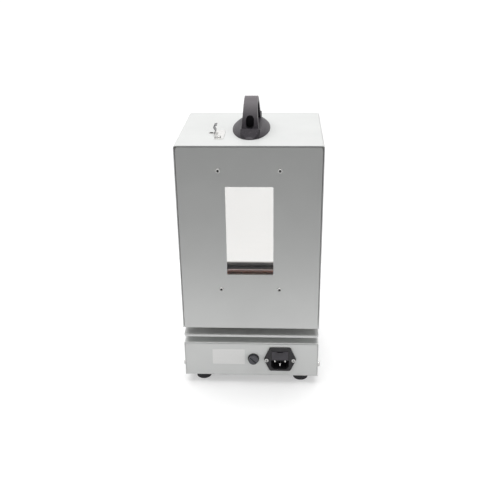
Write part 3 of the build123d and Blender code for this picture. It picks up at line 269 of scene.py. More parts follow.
def moulded_plastic(name, colour, roughness=0.5, grain=2600.0, depth=0.00003, gloss=0.35):
    """Moulded plastic with spark-eroded grain and slightly paler, rubbed edges."""
    finish = Finish(name)
    eroded = finish.noise(grain, 2.0, 0.6)
    cloud = finish.noise(45.0, 3.0)
    base = finish.blend(cloud, shade(colour, 0.88), shade(colour, 1.12))
    finish.colour(finish.mix(finish.wear(0.53, 0.62), base, shade(colour, 1.7)))
    finish.roughness(finish.remap(eroded, roughness - 0.06, roughness + 0.08))
    finish.bump(eroded, depth, 0.4)
    finish.set(Specular_IOR_Level=gloss)
    return finish.material


def grip_plastic(name, colour, crest, foot_z, crest_z):
    """Charcoal plastic of the handle, speckled, with a painted sheen that makes it paler towards its
    crest.
    """
    finish = Finish(name)
    grain = finish.noise(1900.0, 2.0, 0.6)
    specks = finish.noise(900.0, 2.0, 0.7)
    height = finish.remap(finish.level(), 0.0, 1.0, foot_z, crest_z)
    # Painted sheen: darker at the foot and paler up to the crest, as the bow's upper side catches the
    # light.
    base = finish.mix(finish.math("MULTIPLY", height, height), colour, crest)
    finish.colour(finish.mix(finish.remap(specks, 0.0, 0.5, 0.58, 0.68), base, shade(crest, 1.5)))
    finish.roughness(finish.remap(grain, 0.36, 0.5))
    finish.bump(grain, 0.00006, 0.4)
    finish.set(Specular_IOR_Level=0.28)
    return finish.material


def black_rubber(name, colour):
    """Matt rubber with fine pores and dust in them."""
    finish = Finish(name)
    pores = finish.noise(1800.0, 3.0, 0.7)
    dust = finish.noise(160.0, 4.0)
    finish.colour(finish.blend(dust, colour, shade(colour, 2.4), 0.7))
    finish.roughness(finish.remap(pores, 0.72, 0.9))
    finish.bump(pores, 0.00008, 0.5)
    return finish.material


def clear_glass(name, colour):
    """Coated clear glass that reflects little, with a trace of smear in its gloss."""
    finish = Finish(name)
    smear = finish.noise(22.0, 4.0, 0.6)
    finish.colour(finish.blend(smear, shade(colour, 0.99), colour))
    finish.roughness(finish.remap(smear, 0.0, 0.012))
    finish.set(Transmission_Weight=1.0, IOR=1.3)
    return finish.material


def heated_steel(name, colour, straw, blue, metallic=1.0, gloss=0.5):
    """Stainless sheet after many heats: straw and blue tints in soft clouds over rolled grain."""
    finish = Finish(name)
    cloud = finish.noise(16.0, 4.0, 0.55)
    tint = finish.ramp(cloud, ((0.3, colour), (0.47, straw), (0.62, blue), (0.75, shade(colour, 0.7))))
    lines = finish.noise(1.0, 4.0, 0.6, finish.stretched((90.0, 90.0, 1300.0)))
    finish.colour(finish.blend(lines, tint, shade(colour, 0.6), 0.5))
    finish.roughness(finish.remap(lines, 0.32, 0.5))
    finish.bump(lines, 0.00004, 0.3)
    finish.set(Metallic=metallic, Specular_IOR_Level=gloss)
    return finish.material


def fibre_board(name, colour):
    """Pressed ceramic fibre: short matted fibres and shallow pits."""
    finish = Finish(name)
    fibres = finish.noise(1.0, 6.0, 0.7, finish.stretched((420.0, 1600.0, 900.0)))
    finish.colour(finish.blend(fibres, shade(colour, 0.86), colour))
    finish.bump(fibres, 0.0004, 0.6)
    finish.set(Roughness=0.95)
    return finish.material


def heater_sheath(name, colour, pale, rod_top_highlight, level):
    """Oxidised heater sheath: copper brown with paler bands, and a grey painted highlight above a
    level.
    """
    finish = Finish(name)
    upper = finish.remap(finish.level(), 0.0, 1.0, level - 0.0004, level + 0.0004)
    bands = finish.noise(1.0, 3.0, 0.5, finish.stretched((30.0, 60.0, 60.0)))
    scale = finish.noise(900.0, 4.0, 0.65)
    sheath = finish.blend(bands, colour, pale)
    # Painted highlight: above the level the rods turn grey, standing in for the light their upper sides
    # catch.
    base = finish.mix(upper, sheath, rod_top_highlight)
    finish.colour(finish.blend(scale, base, shade(colour, 0.5), 0.6))
    finish.roughness(finish.remap(scale, 0.3, 0.5))
    finish.bump(scale, 0.00006, 0.4)
    finish.set(Metallic=0.5)
    return finish.material


def pale_ceramic(name, colour):
    """Unglazed ceramic with fine pits."""
    finish = Finish(name)
    pits = finish.noise(1400.0, 4.0, 0.6)
    finish.colour(finish.blend(pits, shade(colour, 0.8), colour))
    finish.roughness(finish.remap(pits, 0.6, 0.8))
    finish.bump(pits, 0.00008, 0.4)
    return finish.material


def woven_seal(name, colour):
    """Braided glass-fibre rope: two crossing sets of diagonal strands."""
    finish = Finish(name)
    heights = []
    for turn in (0.7, -0.7):
        mapping = finish.node("ShaderNodeMapping")
        mapping.inputs["Rotation"].default_value = (0.0, turn, 0.0)
        finish.link(finish.place, mapping.inputs["Vector"])
        wave = finish.node("ShaderNodeTexWave", wave_type="BANDS", bands_direction="X")
        wave.inputs["Scale"].default_value = 260.0
        wave.inputs["Distortion"].default_value = 1.2
        wave.inputs["Detail Scale"].default_value = 3.0
        finish.link(mapping.outputs["Vector"], wave.inputs["Vector"])
        heights.append(wave.outputs["Fac"])
    weave = finish.math("MAXIMUM", heights[0], heights[1])
    finish.colour(finish.mix(finish.remap(weave, 0.0, 1.0, 0.2, 0.9), shade(colour, 0.55), colour))
    finish.bump(weave, 0.0005, 0.7)
    finish.set(Roughness=0.9)
    return finish.material


def display_window(name, colour):
    """Tinted acrylic window of the display, with a faint gloss variation."""
    finish = Finish(name)
    smear = finish.noise(60.0, 3.0)
    finish.colour(finish.blend(smear, colour, shade(colour, 1.25)))
    finish.roughness(finish.remap(smear, 0.05, 0.1))
    finish.set(Transmission_Weight=0.5, IOR=1.49)
    return finish.material


def paper_label(name, colour):
    """Blank matt film label with a hint of fibre."""
    finish = Finish(name)
    fibres = finish.noise(700.0, 4.0, 0.6)
    finish.colour(finish.blend(fibres, shade(colour, 0.96), colour))
    finish.roughness(finish.remap(fibres, 0.4, 0.5))
    finish.bump(fibres, 0.00003, 0.2)
    return finish.material


def printed_ink(name, colour):
    """Screen-printed ink with slight unevenness."""
    finish = Finish(name)
    uneven = finish.noise(1200.0, 3.0)
    finish.colour(finish.blend(uneven, shade(colour, 0.85), colour))
    finish.roughness(finish.remap(uneven, 0.45, 0.6))
    return finish.material


finishes = {}


def handle_levels():
    """Heights of the handle's foot and crest, in metres, between which the painted sheen grows."""
    low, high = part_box("handle_bow")
    foot_height = 8.0 * MM
    return low.z + foot_height, high.z


def rod_level():
    """Height above which the heater rods get their grey painted highlight, in metres."""
    highlight_depth = 0.6 * MM
    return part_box("heater_element")[1].z - highlight_depth


def make_finishes(look):
    """Make every finish once, from the chosen colours."""
    along_z = (1100.0, 1100.0, 25.0)
    along_x = (25.0, 1100.0, 1100.0)
    # Level above which the probe clip gets its painted dark reflection.
    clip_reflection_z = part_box("housing_wrap")[1].z + 3.5 * MM
    # Level below which the probe bush gets its painted shade.
    port_dark_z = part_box("probe_bush")[1].z - 0.15 * MM
    finishes.update(
        paint=powder_coat("powder_coat", look.paint),
        stainless=brushed_metal("brushed_stainless", look.stainless, along_z, 0.32),
        zinc=brushed_metal("zinc_plate", look.zinc, along_x, 0.38, 0.8),
        screw=bright_metal("screw_steel", look.zinc, 0.22),
        spring=sprung_steel("spring_steel", look.polished, look.clip_dark_reflection, clip_reflection_z),
        port=port_steel("port_steel", look.stainless, look.lining, port_dark_z),
        cap=moulded_plastic("cap_plastic", look.cap, 0.4),
        nickel=bright_metal("nickel_plate", look.polished, 0.14),
        magnet=bright_metal("plated_magnet", look.zinc, 0.2),
        muffle=heated_steel("heated_steel", look.muffle, look.straw, look.blue),
        lip=heated_steel("heated_lip", look.lip, shade(look.lip, 1.3), shade(look.lip, 0.8), 0.0, 0.12),
        heater=heater_sheath("heater_sheath", look.heater, look.heater_pale, look.rod_top_highlight, rod_level()),
        fibre=fibre_board("fibre_board", look.fibre),
        ceramic=pale_ceramic("pale_ceramic", look.ceramic),
        seal=woven_seal("woven_seal", look.seal),
        rubber=black_rubber("black_rubber", look.black),
        black=moulded_plastic("black_plastic", look.black, 0.42),
        charcoal=grip_plastic("charcoal_plastic", look.charcoal, look.crest, *handle_levels()),
        drawer=moulded_plastic("drawer_plastic", look.drawer, 0.4),
        gloss=moulded_plastic("gloss_plastic", look.black, 0.18, 500.0, 0.00001),
        keys=moulded_plastic("key_plastic", look.keys, 0.5),
        glass=clear_glass("clear_glass", look.glass),
        display=display_window("display_window", look.display),
        label=paper_label("blank_label", look.label),
        ink=printed_ink("pale_ink", look.label),
        segment=printed_ink("unlit_segment", look.segment),
        # Painted shade for screw recesses: flat near-black, made like the ink.
        recess=printed_ink("recess_shade", look.black),
        # Painted shade: near-black plastic for the handle's recesses and the fuse cap's slot.
        lining=moulded_plastic("recess_lining", look.lining, 0.7, 1400.0, 0.00005, 0.1),
    )


def dress(finish, *names):
    """Give CAD nodes a finish."""
    for name in names:
        slots = nodes[name].material_slots
        if not slots:
            nodes[name].data.materials.append(finishes[finish])
        for slot in slots:
            slot.material = finishes[finish]


# ---- Surface helpers ----
def make_piece(name, points, faces, finish, body):
    """Piece from points and faces, which rides on a body and has a finish."""
    mesh = bpy.data.meshes.new(name)
    mesh.from_pydata(points.tolist(), [], faces)
    mesh.materials.append(finishes[finish])
    mesh.update()
    piece = bpy.data.objects.new(name, mesh)
    bpy.context.scene.collection.objects.link(piece)
    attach(piece, body)
    return piece


def loops_mesh(name, loops_list, finish, body):
    """One mesh from closed bodies, each an array of rings (rings, points, 3) run from end to end.

    Neighbouring rings are joined by quads, and the first and last ring are closed by a fan to the
    mean of their points.
    """
    points = []
    faces = []
    start = 0
    for loops in loops_list:
        rings, around = loops.shape[:2]
        flat = loops.reshape(-1, 3)
        ends = np.stack((loops[0].mean(axis=0), loops[-1].mean(axis=0)))
        points.append(np.concatenate((flat, ends)))
        index = np.arange(rings * around).reshape(rings, around) + start
        ahead = np.roll(index, -1, axis=1)
        quads = np.stack((index[:-1], ahead[:-1], ahead[1:], index[1:]), axis=-1).reshape(-1, 4)
        low, high = start + rings * around, start + rings * around + 1
        low_fan = np.stack((ahead[0], index[0], np.full(around, low)), axis=-1)
        high_fan = np.stack((index[-1], ahead[-1], np.full(around, high)), axis=-1)
        faces += quads.tolist() + low_fan.tolist() + high_fan.tolist()
        start += rings * around + 2
    return make_piece(name, np.concatenate(points), faces, finish, body)


def torus_mesh(name, rings, finish, body):
    """Closed tube: rings of points that join to their neighbours both ways round, with no ends."""
    turns, around = rings.shape[:2]
    index = np.arange(turns * around).reshape(turns, around)
    ahead = np.roll(index, -1, axis=1)
    faces = np.stack((index, ahead, np.roll(ahead, -1, axis=0), np.roll(index, -1, axis=0)), axis=-1)
    return make_piece(name, rings.reshape(-1, 3), faces.reshape(-1, 4).tolist(), finish, body)


def rounded_outline(half_u, half_v, corner, count=48):
    """Rounded rectangle: each point is a corner's centre plus the corner radius at an even angle."""
    angle = (np.arange(count) + 0.5) * 2 * np.pi / count
    u = (half_u - corner) * np.sign(np.cos(angle)) + corner * np.cos(angle)
    v = (half_v - corner) * np.sign(np.sin(angle)) + corner * np.sin(angle)
    return np.stack((u, v), axis=-1)


def circle_outline(radius, count=32):
    """Circle of evenly spaced points."""
    angle = np.arange(count) * 2 * np.pi / count
    return radius * np.stack((np.cos(angle), np.sin(angle)), axis=-1)


def bar_outline(start, end, width):
    """Bar with pointed ends: a hexagon along the line from start to end."""
    start, end = np.asarray(start, float), np.asarray(end, float)
    along = (end - start) / np.linalg.norm(end - start)
    across = np.array((-along[1], along[0])) * width / 2
    tip = along * width / 2
    corners = (start - tip, start - across, end - across, end + tip, end + across, start + across)
    return np.stack(corners)


def raised(outline, origin, u_axis, v_axis, height, edge=0.0, sink=0.0):
    """Rings of a low raised form: the outline from below its seat to its top, drawn in at the edge."""
    outline = np.asarray(outline, float)
    normal = np.cross(u_axis, v_axis)
    middle = outline.mean(axis=0)
    reach = np.linalg.norm(outline - middle, axis=1, keepdims=True)
    inner = middle + (outline - middle) * (1 - edge / np.maximum(reach, 1e-9))
    rows = ((outline, -sink), (outline, height - edge), (inner, height))
    rings = [
        origin + flat[:, :1] * u_axis + flat[:, 1:] * v_axis + level * normal for flat, level in rows
    ]
    return np.stack(rings)


def domed_head(centre, normal, radius, height, drive):
    """Rings of a screw head: a shallow dome whose level falls as the square of the distance out.

    The dome's middle is pressed in by a cross: there the level drops by the drive's depth.
    """
    points = 48
    fall, drive_reach, drive_depth, sink = 0.55, 0.62, 0.45, 0.2 * MM
    side = np.cross(normal, Z_AXIS) if abs(normal[2]) < 0.9 else X_AXIS
    side = side / np.linalg.norm(side)
    up = np.cross(normal, side)
    around = (np.arange(points) + 0.5) * 2 * np.pi / points
    out = np.array((1.0, 1.0, 0.94, 0.8, 0.66, 0.52, 0.4, 0.3, 0.2, 0.12))
    u = radius * out[:, None] * np.cos(around)
    v = radius * out[:, None] * np.sin(around)
    level = height * (1 - fall * out[:, None] ** 2) * np.ones_like(u)
    inside = (out[:, None] < drive_reach) & ((np.abs(u) < drive) | (np.abs(v) < drive))
    level = np.where(inside, level - drive_depth * height, level)
    level[0] = -sink
    return centre + u[..., None] * side + v[..., None] * up + level[..., None] * normal


def seat_on(node, start, direction):
    """Point and normal where a ray from a start point, CAST_START off, first meets a CAD node."""
    found, place, normal, _ = nodes[node].ray_cast(Vector(start), Vector(direction))
    if not found:
        raise RuntimeError(f"nothing of {node} under a mark")
    return np.array(place), np.array(normal)


def frame_on(normal):
    """Two axes along a surface: across it and up it."""
    across = np.cross(Z_AXIS, normal)
    across = across / np.linalg.norm(across)
    return across, np.cross(normal, across)


# ---- Settings ----
def colour_property(name, description, default):
    """Linear RGB colour setting."""
    return FloatVectorProperty(
        name=name, description=description, default=default, size=3, min=0.0, max=1.0, subtype="COLOR"
    )


def length_property(name, description, default):
    """Length setting in metres."""
    return FloatProperty(name=name, description=description, default=default, min=0.0, unit="LENGTH")


def number_property(name, description, default):
    """Plain number setting: a strength, a share or an angle in degrees."""
    return FloatProperty(name=name, description=description, default=default)


class FurnaceLook(bpy.types.PropertyGroup):
    """Colours of the finishes."""

    paint: colour_property("Paint", "Powder coat of the sheet metal", (0.74, 0.75, 0.74))
    stainless: colour_property("Stainless", "Brushed stainless steel", (0.6, 0.59, 0.57))
    zinc: colour_property("Zinc", "Zinc-plated steel", (0.55, 0.55, 0.54))
    polished: colour_property("Polished", "Polished and nickel-plated metal", (0.86, 0.85, 0.83))
    muffle: colour_property("Muffle", "Chamber steel", (0.17, 0.155, 0.148))
    lip: colour_property("Lip", "Steel round the chamber's mouth", (0.05, 0.044, 0.042))
    straw: colour_property("Straw tint", "Heat tint of the chamber steel", (0.2, 0.155, 0.12))
    blue: colour_property("Blue tint", "Second heat tint of the chamber steel", (0.12, 0.12, 0.145))
    # Painted dark reflection on the upper part of the probe clip.
    clip_dark_reflection: colour_property("Blued steel", "Upper part of the probe clip", (0.1, 0.1, 0.11))
    heater: colour_property("Heater", "Oxidised heater sheath", (0.78, 0.37, 0.29))
    heater_pale: colour_property("Heater bands", "Paler bands of the heater", (0.78, 0.44, 0.36))
    # Painted highlight on the heater rods' upper sides.
    rod_top_highlight: colour_property("Heater scale", "Grey scale on the rods' upper sides", (0.46, 0.4, 0.4))
    fibre: colour_property("Fibre", "Insulation boards", (0.84, 0.82, 0.78))
    ceramic: colour_property("Ceramic", "Bushes and terminal block", (0.8, 0.77, 0.7))
    seal: colour_property("Seal", "Woven door seal", (0.62, 0.6, 0.55))
    black: colour_property("Black", "Black plastic and rubber", (0.016, 0.0155, 0.017))
    charcoal: colour_property("Charcoal", "Handle's foot and guard", (0.027, 0.0225, 0.029))
    # Painted sheen: the colour the handle reaches at its crest.
    crest: colour_property("Crest", "Crest of the handle", (0.1, 0.087, 0.096))
    cap: colour_property("Fuse cap", "Turning cap of the fuse holder", (0.085, 0.085, 0.095))
    # Painted shade in hollows: the handle's recesses, the fuse cap's slot and the probe bore.
    lining: colour_property("Lining", "Lining of the handle's recesses", (0.006, 0.0055, 0.007))
    drawer: colour_property("Drawer", "Fuse drawer", (0.035, 0.033, 0.038))
    keys: colour_property("Keys", "Controller keys", (0.2, 0.21, 0.23))
    glass: colour_property("Glass", "Window panes", (0.9, 0.896, 0.888))
    display: colour_property("Display", "Display window", (0.05, 0.008, 0.01))
    segment: colour_property("Segments", "Unlit display segments", (0.16, 0.05, 0.05))
    label: colour_property("Label", "Blank label and pale print", (0.9, 0.9, 0.89))


class FurnaceSizes(bpy.types.PropertyGroup):
    """Sizes of the small pieces."""

    label_x: length_property("Label place", "Distance of the label from the middle plane", 0.0305)
    label_z: length_property("Label level", "Height of the label over the floor", 0.0414)
    label_width: length_property("Label width", "Width of the blank rear label", 0.0436)
    label_height: length_property("Label height", "Height of the blank rear label", 0.0231)
    label_thickness: length_property("Label thickness", "Thickness of the label film", 0.0002)
    print_height: length_property("Print height", "How far printed marks stand proud", 0.00006)
    drive_width: length_property("Drive width", "Width of a cross recess", 0.0006)
    socket_radius: length_property("Socket radius", "Corner radius of the rear sockets", 0.00195)
    hinge_screw: length_property("Hinge screw", "Radius of the hinge leaves' screw heads", 0.0018)
    door_screw: length_property("Door screw", "Radius of the inner panel's screw heads", 0.0024)
    digit_height: length_property("Digit height", "Height of a display digit", 0.0105)
    digit_pitch: length_property("Digit pitch", "Spacing of the display digits", 0.0085)


class FurnaceStage(bpy.types.PropertyGroup):
    """Camera, lamps and floor."""

    camera_x: length_property("Camera offset", "Camera's distance from the middle, towards -X", 0.04219)
    camera_back: length_property("Camera distance", "Camera's distance behind the rear face", 0.81004)
    camera_height: length_property("Camera height", "Height of the camera over the floor", 0.56808)
    yaw: number_property("Yaw", "Turn of the camera, in degrees", -2.97187)
    pitch: number_property("Pitch", "Downward tilt of the camera, in degrees", 24.40451)
    roll: number_property("Roll", "Roll of the camera, in degrees", -0.76128)
    focal: number_property("Focal length", "Lens on a 36 mm sensor", 50.95)
    overhead: number_property("Overhead lamp", "Strength of the overhead sun", 2.8)
    sun_spread: number_property("Sun spread", "Width of the overhead sun, in degrees", 70.0)
    sun_tilt: number_property("Sun tilt", "Tilt of the sun towards the front, in degrees", 12.0)
    sun_lean: number_property("Sun lean", "Lean of the sun towards +X, in degrees", 4.0)
    sky: number_property("Sky", "Strength of the even light all round", 0.23)
    floor_shade: number_property("Floor shade", "White of the floor that takes the shadow", 0.6)
    floor_white: number_property("Floor white", "White that the floor shows by itself", 0.42)
    floor_bounce: number_property("Floor bounce", "Share of the light the floor returns", 0.18)
    end_white: number_property("End white", "White of the cards before the front and rear", 1.85)
    side_white: number_property("Side white", "White of the cards beside the object", 4.0)
    floor_reach: length_property("Floor reach", "Distance of the floor's edges from the middle", 14.0)
    card_width: length_property("Card width", "Width of the low cards", 0.7)
    end_card: length_property("End card", "Height of the cards before the front and rear", 0.07)
    side_card: length_property("Side card", "Height of the cards beside the object", 0.03)
    side_card_foot: length_property("Side card foot", "Height of the side cards over the floor", 0.065)
    card_distance: length_property("Card distance", "Distance of the low cards from the faces", 0.175)


# ---- Finishing operators ----
class FURNACE_OT_housing(bpy.types.Operator):
    """Finish the housing, its windows and the heat shield"""

    bl_idname = "furnace.housing"
    bl_label = "Finish housing"

    def execute(self, context):
        dress("paint", "housing_wrap", "rear_panel", "shield_plate", "base_pan", "base_cover")
        dress("glass", "rear_glass")
        dress("stainless", "rear_glass_frame")
        dress("port", "probe_bush")
        dress("lip", "front_frame")
        dress("zinc", "housing_floor", "spacers", "wire_duct")
        dress("screw", "rear_frame_screws", "base_cover_screws", "foot_screws")
        dress("rubber", "feet")
        dress("black", "relay")
        dress("ceramic", "terminal_block")
        return {"FINISHED"}


class FURNACE_OT_chamber(bpy.types.Operator):
    """Finish the heated chamber and what surrounds it"""

    bl_idname = "furnace.chamber"
    bl_label = "Finish chamber"

    def execute(self, context):
        dress("muffle", "chamber_liner", "heater_brackets")
        dress("heater", "heater_element")
        dress("ceramic", "heater_bushes")
        dress("stainless", "temperature_sensor")
        dress("nickel", "limit_thermostat")
        dress("fibre", "insulation_sides", "insulation_top", "insulation_bottom", "insulation_back")
        return {"FINISHED"}


class FURNACE_OT_top(bpy.types.Operator):
    """Finish the handle, its guard and the probe clip"""

    bl_idname = "furnace.top"
    bl_label = "Finish top fittings"

    def execute(self, context):
        dress("charcoal", "handle_bow", "handle_guard")
        dress("spring", "probe_clip")
        dress("screw", "clip_screw", "handle_screws")
        return {"FINISHED"}


class FURNACE_OT_electrics(bpy.types.Operator):
    """Finish the inlet, fuse holder, switch and controller"""

    bl_idname = "furnace.electrics"
    bl_label = "Finish electrics"

    def execute(self, context):
        dress("black", "inlet_body", "fuse_holder", "fuse_holder_nut")
        dress("cap", "fuse_cap")
        dress("drawer", "fuse_drawer")
        dress("nickel", "inlet_pins", "drawer_fuse", "line_fuse")
        dress("screw", "inlet_screws")
        dress("black", "controller", "switch_frame")
        dress("gloss", "switch_rocker")
        dress("display", "display_lens")
        dress("keys", "key_1", "key_2", "key_3", "key_4")
        return {"FINISHED"}


class FURNACE_OT_door(bpy.types.Operator):
    """Finish the door, its hinges and its catch"""

    bl_idname = "furnace.door"
    bl_label = "Finish door"

    def execute(self, context):
        dress("paint", "door_outer")
        dress("stainless", "door_inner", "hinge_body_leaves", "hinge_door_leaves")
        dress("glass", "door_glass")
        dress("seal", "door_seal")
        dress("black", "door_knob")
        dress("magnet", "catch_magnet", "catch_keeper")
        dress("screw", "hinge_pins")
        return {"FINISHED"}


# ---- Piece operators ----
class FURNACE_OT_label(bpy.types.Operator):
    """Add the blank label on the rear of the base"""

    bl_idname = "furnace.label"
    bl_label = "Add blank label"

    def execute(self, context):
        sizes = context.scene.furnace_sizes
        corner, edge = 0.8 * MM, 0.05 * MM
        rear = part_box("base_pan")[1].y
        centre = np.array((sizes.label_x, rear, sizes.label_z))
        outline = rounded_outline(sizes.label_width / 2, sizes.label_height / 2, corner)
        film = raised(outline, centre, -X_AXIS, Z_AXIS, sizes.label_thickness, edge)
        loops_mesh("rear_label", [film], "label", "furnace")
        return {"FINISHED"}


class FURNACE_OT_rear_window(bpy.types.Operator):
    """Add painted shade: dark hexagons at the floor of the rear window's screw sockets"""

    bl_idname = "furnace.rear_window"
    bl_label = "Add rear screw sockets"

    def execute(self, context):
        sizes = context.scene.furnace_sizes
        low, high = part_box("rear_frame_screws")
        head_radius, socket_depth = 3.0 * MM, 1.3 * MM
        fill, thickness, edge = 0.94, 0.25 * MM, 0.05 * MM
        floor_y = high.y - socket_depth
        # Painted shade: a thin dark hexagon at each socket's floor.
        hexagon = circle_outline(sizes.socket_radius * fill, 6)
        sockets = [
            raised(hexagon, np.array((x, floor_y, z)), -X_AXIS, Z_AXIS, thickness, edge)
            for x in (low.x + head_radius, high.x - head_radius)
            for z in (low.z + head_radius, high.z - head_radius)
        ]
        loops_mesh("rear_socket_shade", sockets, "recess", "furnace")
        return {"FINISHED"}


class FURNACE_OT_inlet_recesses(bpy.types.Operator):
    """Paint shade into the recesses of the inlet's screws and the slot of the fuse cap, as thin dark
    inlays
    """

    bl_idname = "furnace.inlet_recesses"
    bl_label = "Darken inlet recesses"

    def execute(self, context):
        low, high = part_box("inlet_screws")
        head_radius, recess_depth = 2.7 * MM, 0.8 * MM
        arm, arm_width = 1.45 * MM, 0.64 * MM
        # Painted shade: dark crosses at the floor of each screw's cross recess.
        arms = []
        for x in (low.x + head_radius, high.x - head_radius):
            floor = np.array((x, high.y - recess_depth, (low.z + high.z) / 2))
            for along, thickness in (((arm, 0.0), 0.3 * MM), ((0.0, arm), 0.35 * MM)):
                outline = bar_outline(-np.array(along), along, arm_width)
                arms.append(raised(outline, floor, -X_AXIS, Z_AXIS, thickness))
        loops_mesh("inlet_recess_shade", arms, "recess", "furnace")
        # Painted shade: a dark strip at the floor of the fuse cap's slot.
        low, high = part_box("fuse_cap")
        slot_depth, slot_width, slot_share, thickness = 1.2 * MM, 1.3 * MM, 0.62, 0.3 * MM
        floor = np.array(((low.x + high.x) / 2, high.y - slot_depth, (low.z + high.z) / 2))
        reach = (high.x - low.x) / 2 * slot_share
        slot = bar_outline((-reach, reach), (reach, -reach), slot_width)
        strip = raised(slot, floor, -X_AXIS, Z_AXIS, thickness)
        loops_mesh("fuse_slot_shade", [strip], "lining", "fuse_cap")
        return {"FINISHED"}


class FURNACE_OT_handle_lining(bpy.types.Operator):
    """Paint shade into the recesses in the handle's feet with black cups"""

    bl_idname = "furnace.handle_lining"
    bl_label = "Line handle recesses"

    def execute(self, context):
        # Each cup of painted shade is round-ended. Its mouth follows the bow's ellipse: the reach out
        # falls as the square root of one less the square of the height's share of the rise.
        low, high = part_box("handle_bow")
        middle_y = (low.y + high.y) / 2
        reach_y = (high.y - low.y) / 2
        rise = high.z - low.z
        recess_height, recess_depth, inset = 18.0 * MM, 10.0 * MM, 0.5 * MM
        centre_z = low.z + recess_height
        half_wide, half_tall, wall = 4.95 * MM, 7.45 * MM, 0.35 * MM
        points, round_end = 64, 0.999
        outer = rounded_outline(half_wide, half_tall, half_wide * round_end, points)
        half_wide, half_tall = half_wide - wall, half_tall - wall
        inner = rounded_outline(half_wide, half_tall, half_wide * round_end, points)
        depths = []
        for outline in (outer, inner):
            height = (outline[:, 1] + centre_z - low.z) / rise
            depths.append(reach_y * np.sqrt(1 - height**2) - inset)
        floor = reach_y - recess_depth
        rows = (
            (outer, np.full(points, floor)),
            (outer, depths[0]),
            (inner, depths[1]),
            (inner, np.full(points, floor + wall)),
        )
        linings = []
        for side in (-1, 1):
            cup = np.stack([
                np.stack((-side * flat[:, 0], middle_y + side * y, flat[:, 1] + centre_z), axis=-1)
                for flat, y in rows
            ])
            linings.append(cup)
        loops_mesh("handle_recess_linings", linings, "lining", "furnace")
        return {"FINISHED"}


class FURNACE_OT_display_marks(bpy.types.Operator):
    """Add the display's unlit digits and the marks on the keys"""

    bl_idname = "furnace.display_marks"
    bl_label = "Add display marks"

    def execute(self, context):
        sizes = context.scene.furnace_sizes
        low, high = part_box("display_lens")
        middle = np.array(((low.x + high.x) / 2, low.y, (low.z + high.z) / 2))
        tall = sizes.digit_height / 2
        half = tall / 2
        stroke, gap, sink = 1.1 * MM, 0.75 * MM, 0.02 * MM
        strokes = []
        for digit in (-1.5, -0.5, 0.5, 1.5):
            shift = digit * sizes.digit_pitch
            for z in (-tall, 0.0, tall):
                strokes.append(bar_outline((shift - half + gap, z), (shift + half - gap, z), stroke))
            for side in (-half, half):
                x = shift + side
                for z in (-tall, 0.0):
                    strokes.append(bar_outline((x, z + gap), (x, z + tall - gap), stroke))
        rings = [
            raised(outline, middle, X_AXIS, Z_AXIS, sizes.print_height, 0.0, sink)
            for outline in strokes
        ]
        loops_mesh("display_segments", rings, "segment", "furnace")
        arrow_radius, dot_radius, bar_reach, bar_width = 1.7 * MM, 1.3 * MM, 1.6 * MM, 0.8 * MM
        arrow = circle_outline(arrow_radius, 3) @ np.array(((0.0, 1.0), (-1.0, 0.0)))
        shapes = (
            bar_outline((-bar_reach, 0.0), (bar_reach, 0.0), bar_width),
            (arrow * (1.0, -1.0))[::-1],
            circle_outline(dot_radius, 24),
            arrow,
        )
        for number, outline in enumerate(shapes, 1):
            key = f"key_{number}"
            low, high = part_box(key)
            face = np.array(((low.x + high.x) / 2, low.y, (low.z + high.z) / 2))
            mark = raised(outline, face, X_AXIS, Z_AXIS, sizes.print_height, 0.0, sink)
            loops_mesh(f"{key}_mark", [mark], "ink", key)
        return {"FINISHED"}


class FURNACE_OT_switch_marks(bpy.types.Operator):
    """Add the on and off marks of the mains switch"""

    bl_idname = "furnace.switch_marks"
    bl_label = "Add switch marks"

    def execute(self, context):
        low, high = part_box("switch_rocker")
        self.add_off_mark(*self.seat(low, high, 0.24))
        self.add_on_mark(*self.seat(low, high, 0.76))
        return {"FINISHED"}

    def seat(self, low, high, share):
        """Point of the rocker's face at a share of its height, with the axes across, up and out."""
        start = ((low.x + high.x) / 2, low.y - CAST_START, low.z + (high.z - low.z) * share)
        place, normal = seat_on("switch_rocker", start, Y_AXIS)
        return place, *frame_on(normal), normal

    def add_on_mark(self, place, across, up, normal):
        """Add the upright bar."""
        reach, width = 1.9 * MM, 0.7 * MM
        height, edge, sink = 0.1 * MM, 0.02 * MM, 0.25 * MM
        outline = bar_outline((0.0, -reach), (0.0, reach), width)
        bar = raised(outline, place, across, up, height, edge, sink)
        loops_mesh("switch_on_mark", [bar], "ink", "rocker")

    def add_off_mark(self, place, across, up, normal):
        """Add the ring: a flattened torus, half sunk in the face."""
        radius, half_width, half_height = 1.65 * MM, 0.35 * MM, 0.16 * MM
        turns, points = 12, 40
        turn = (np.arange(turns) * 2 * np.pi / turns)[:, None, None]
        around = (np.arange(points) * 2 * np.pi / points)[None, :, None]
        out = radius + half_width * np.cos(turn)
        flat = out * np.cos(around) * across + out * np.sin(around) * up
        rings = place + flat + half_height * np.sin(turn) * normal
        torus_mesh("switch_off_mark", rings, "ink", "rocker")


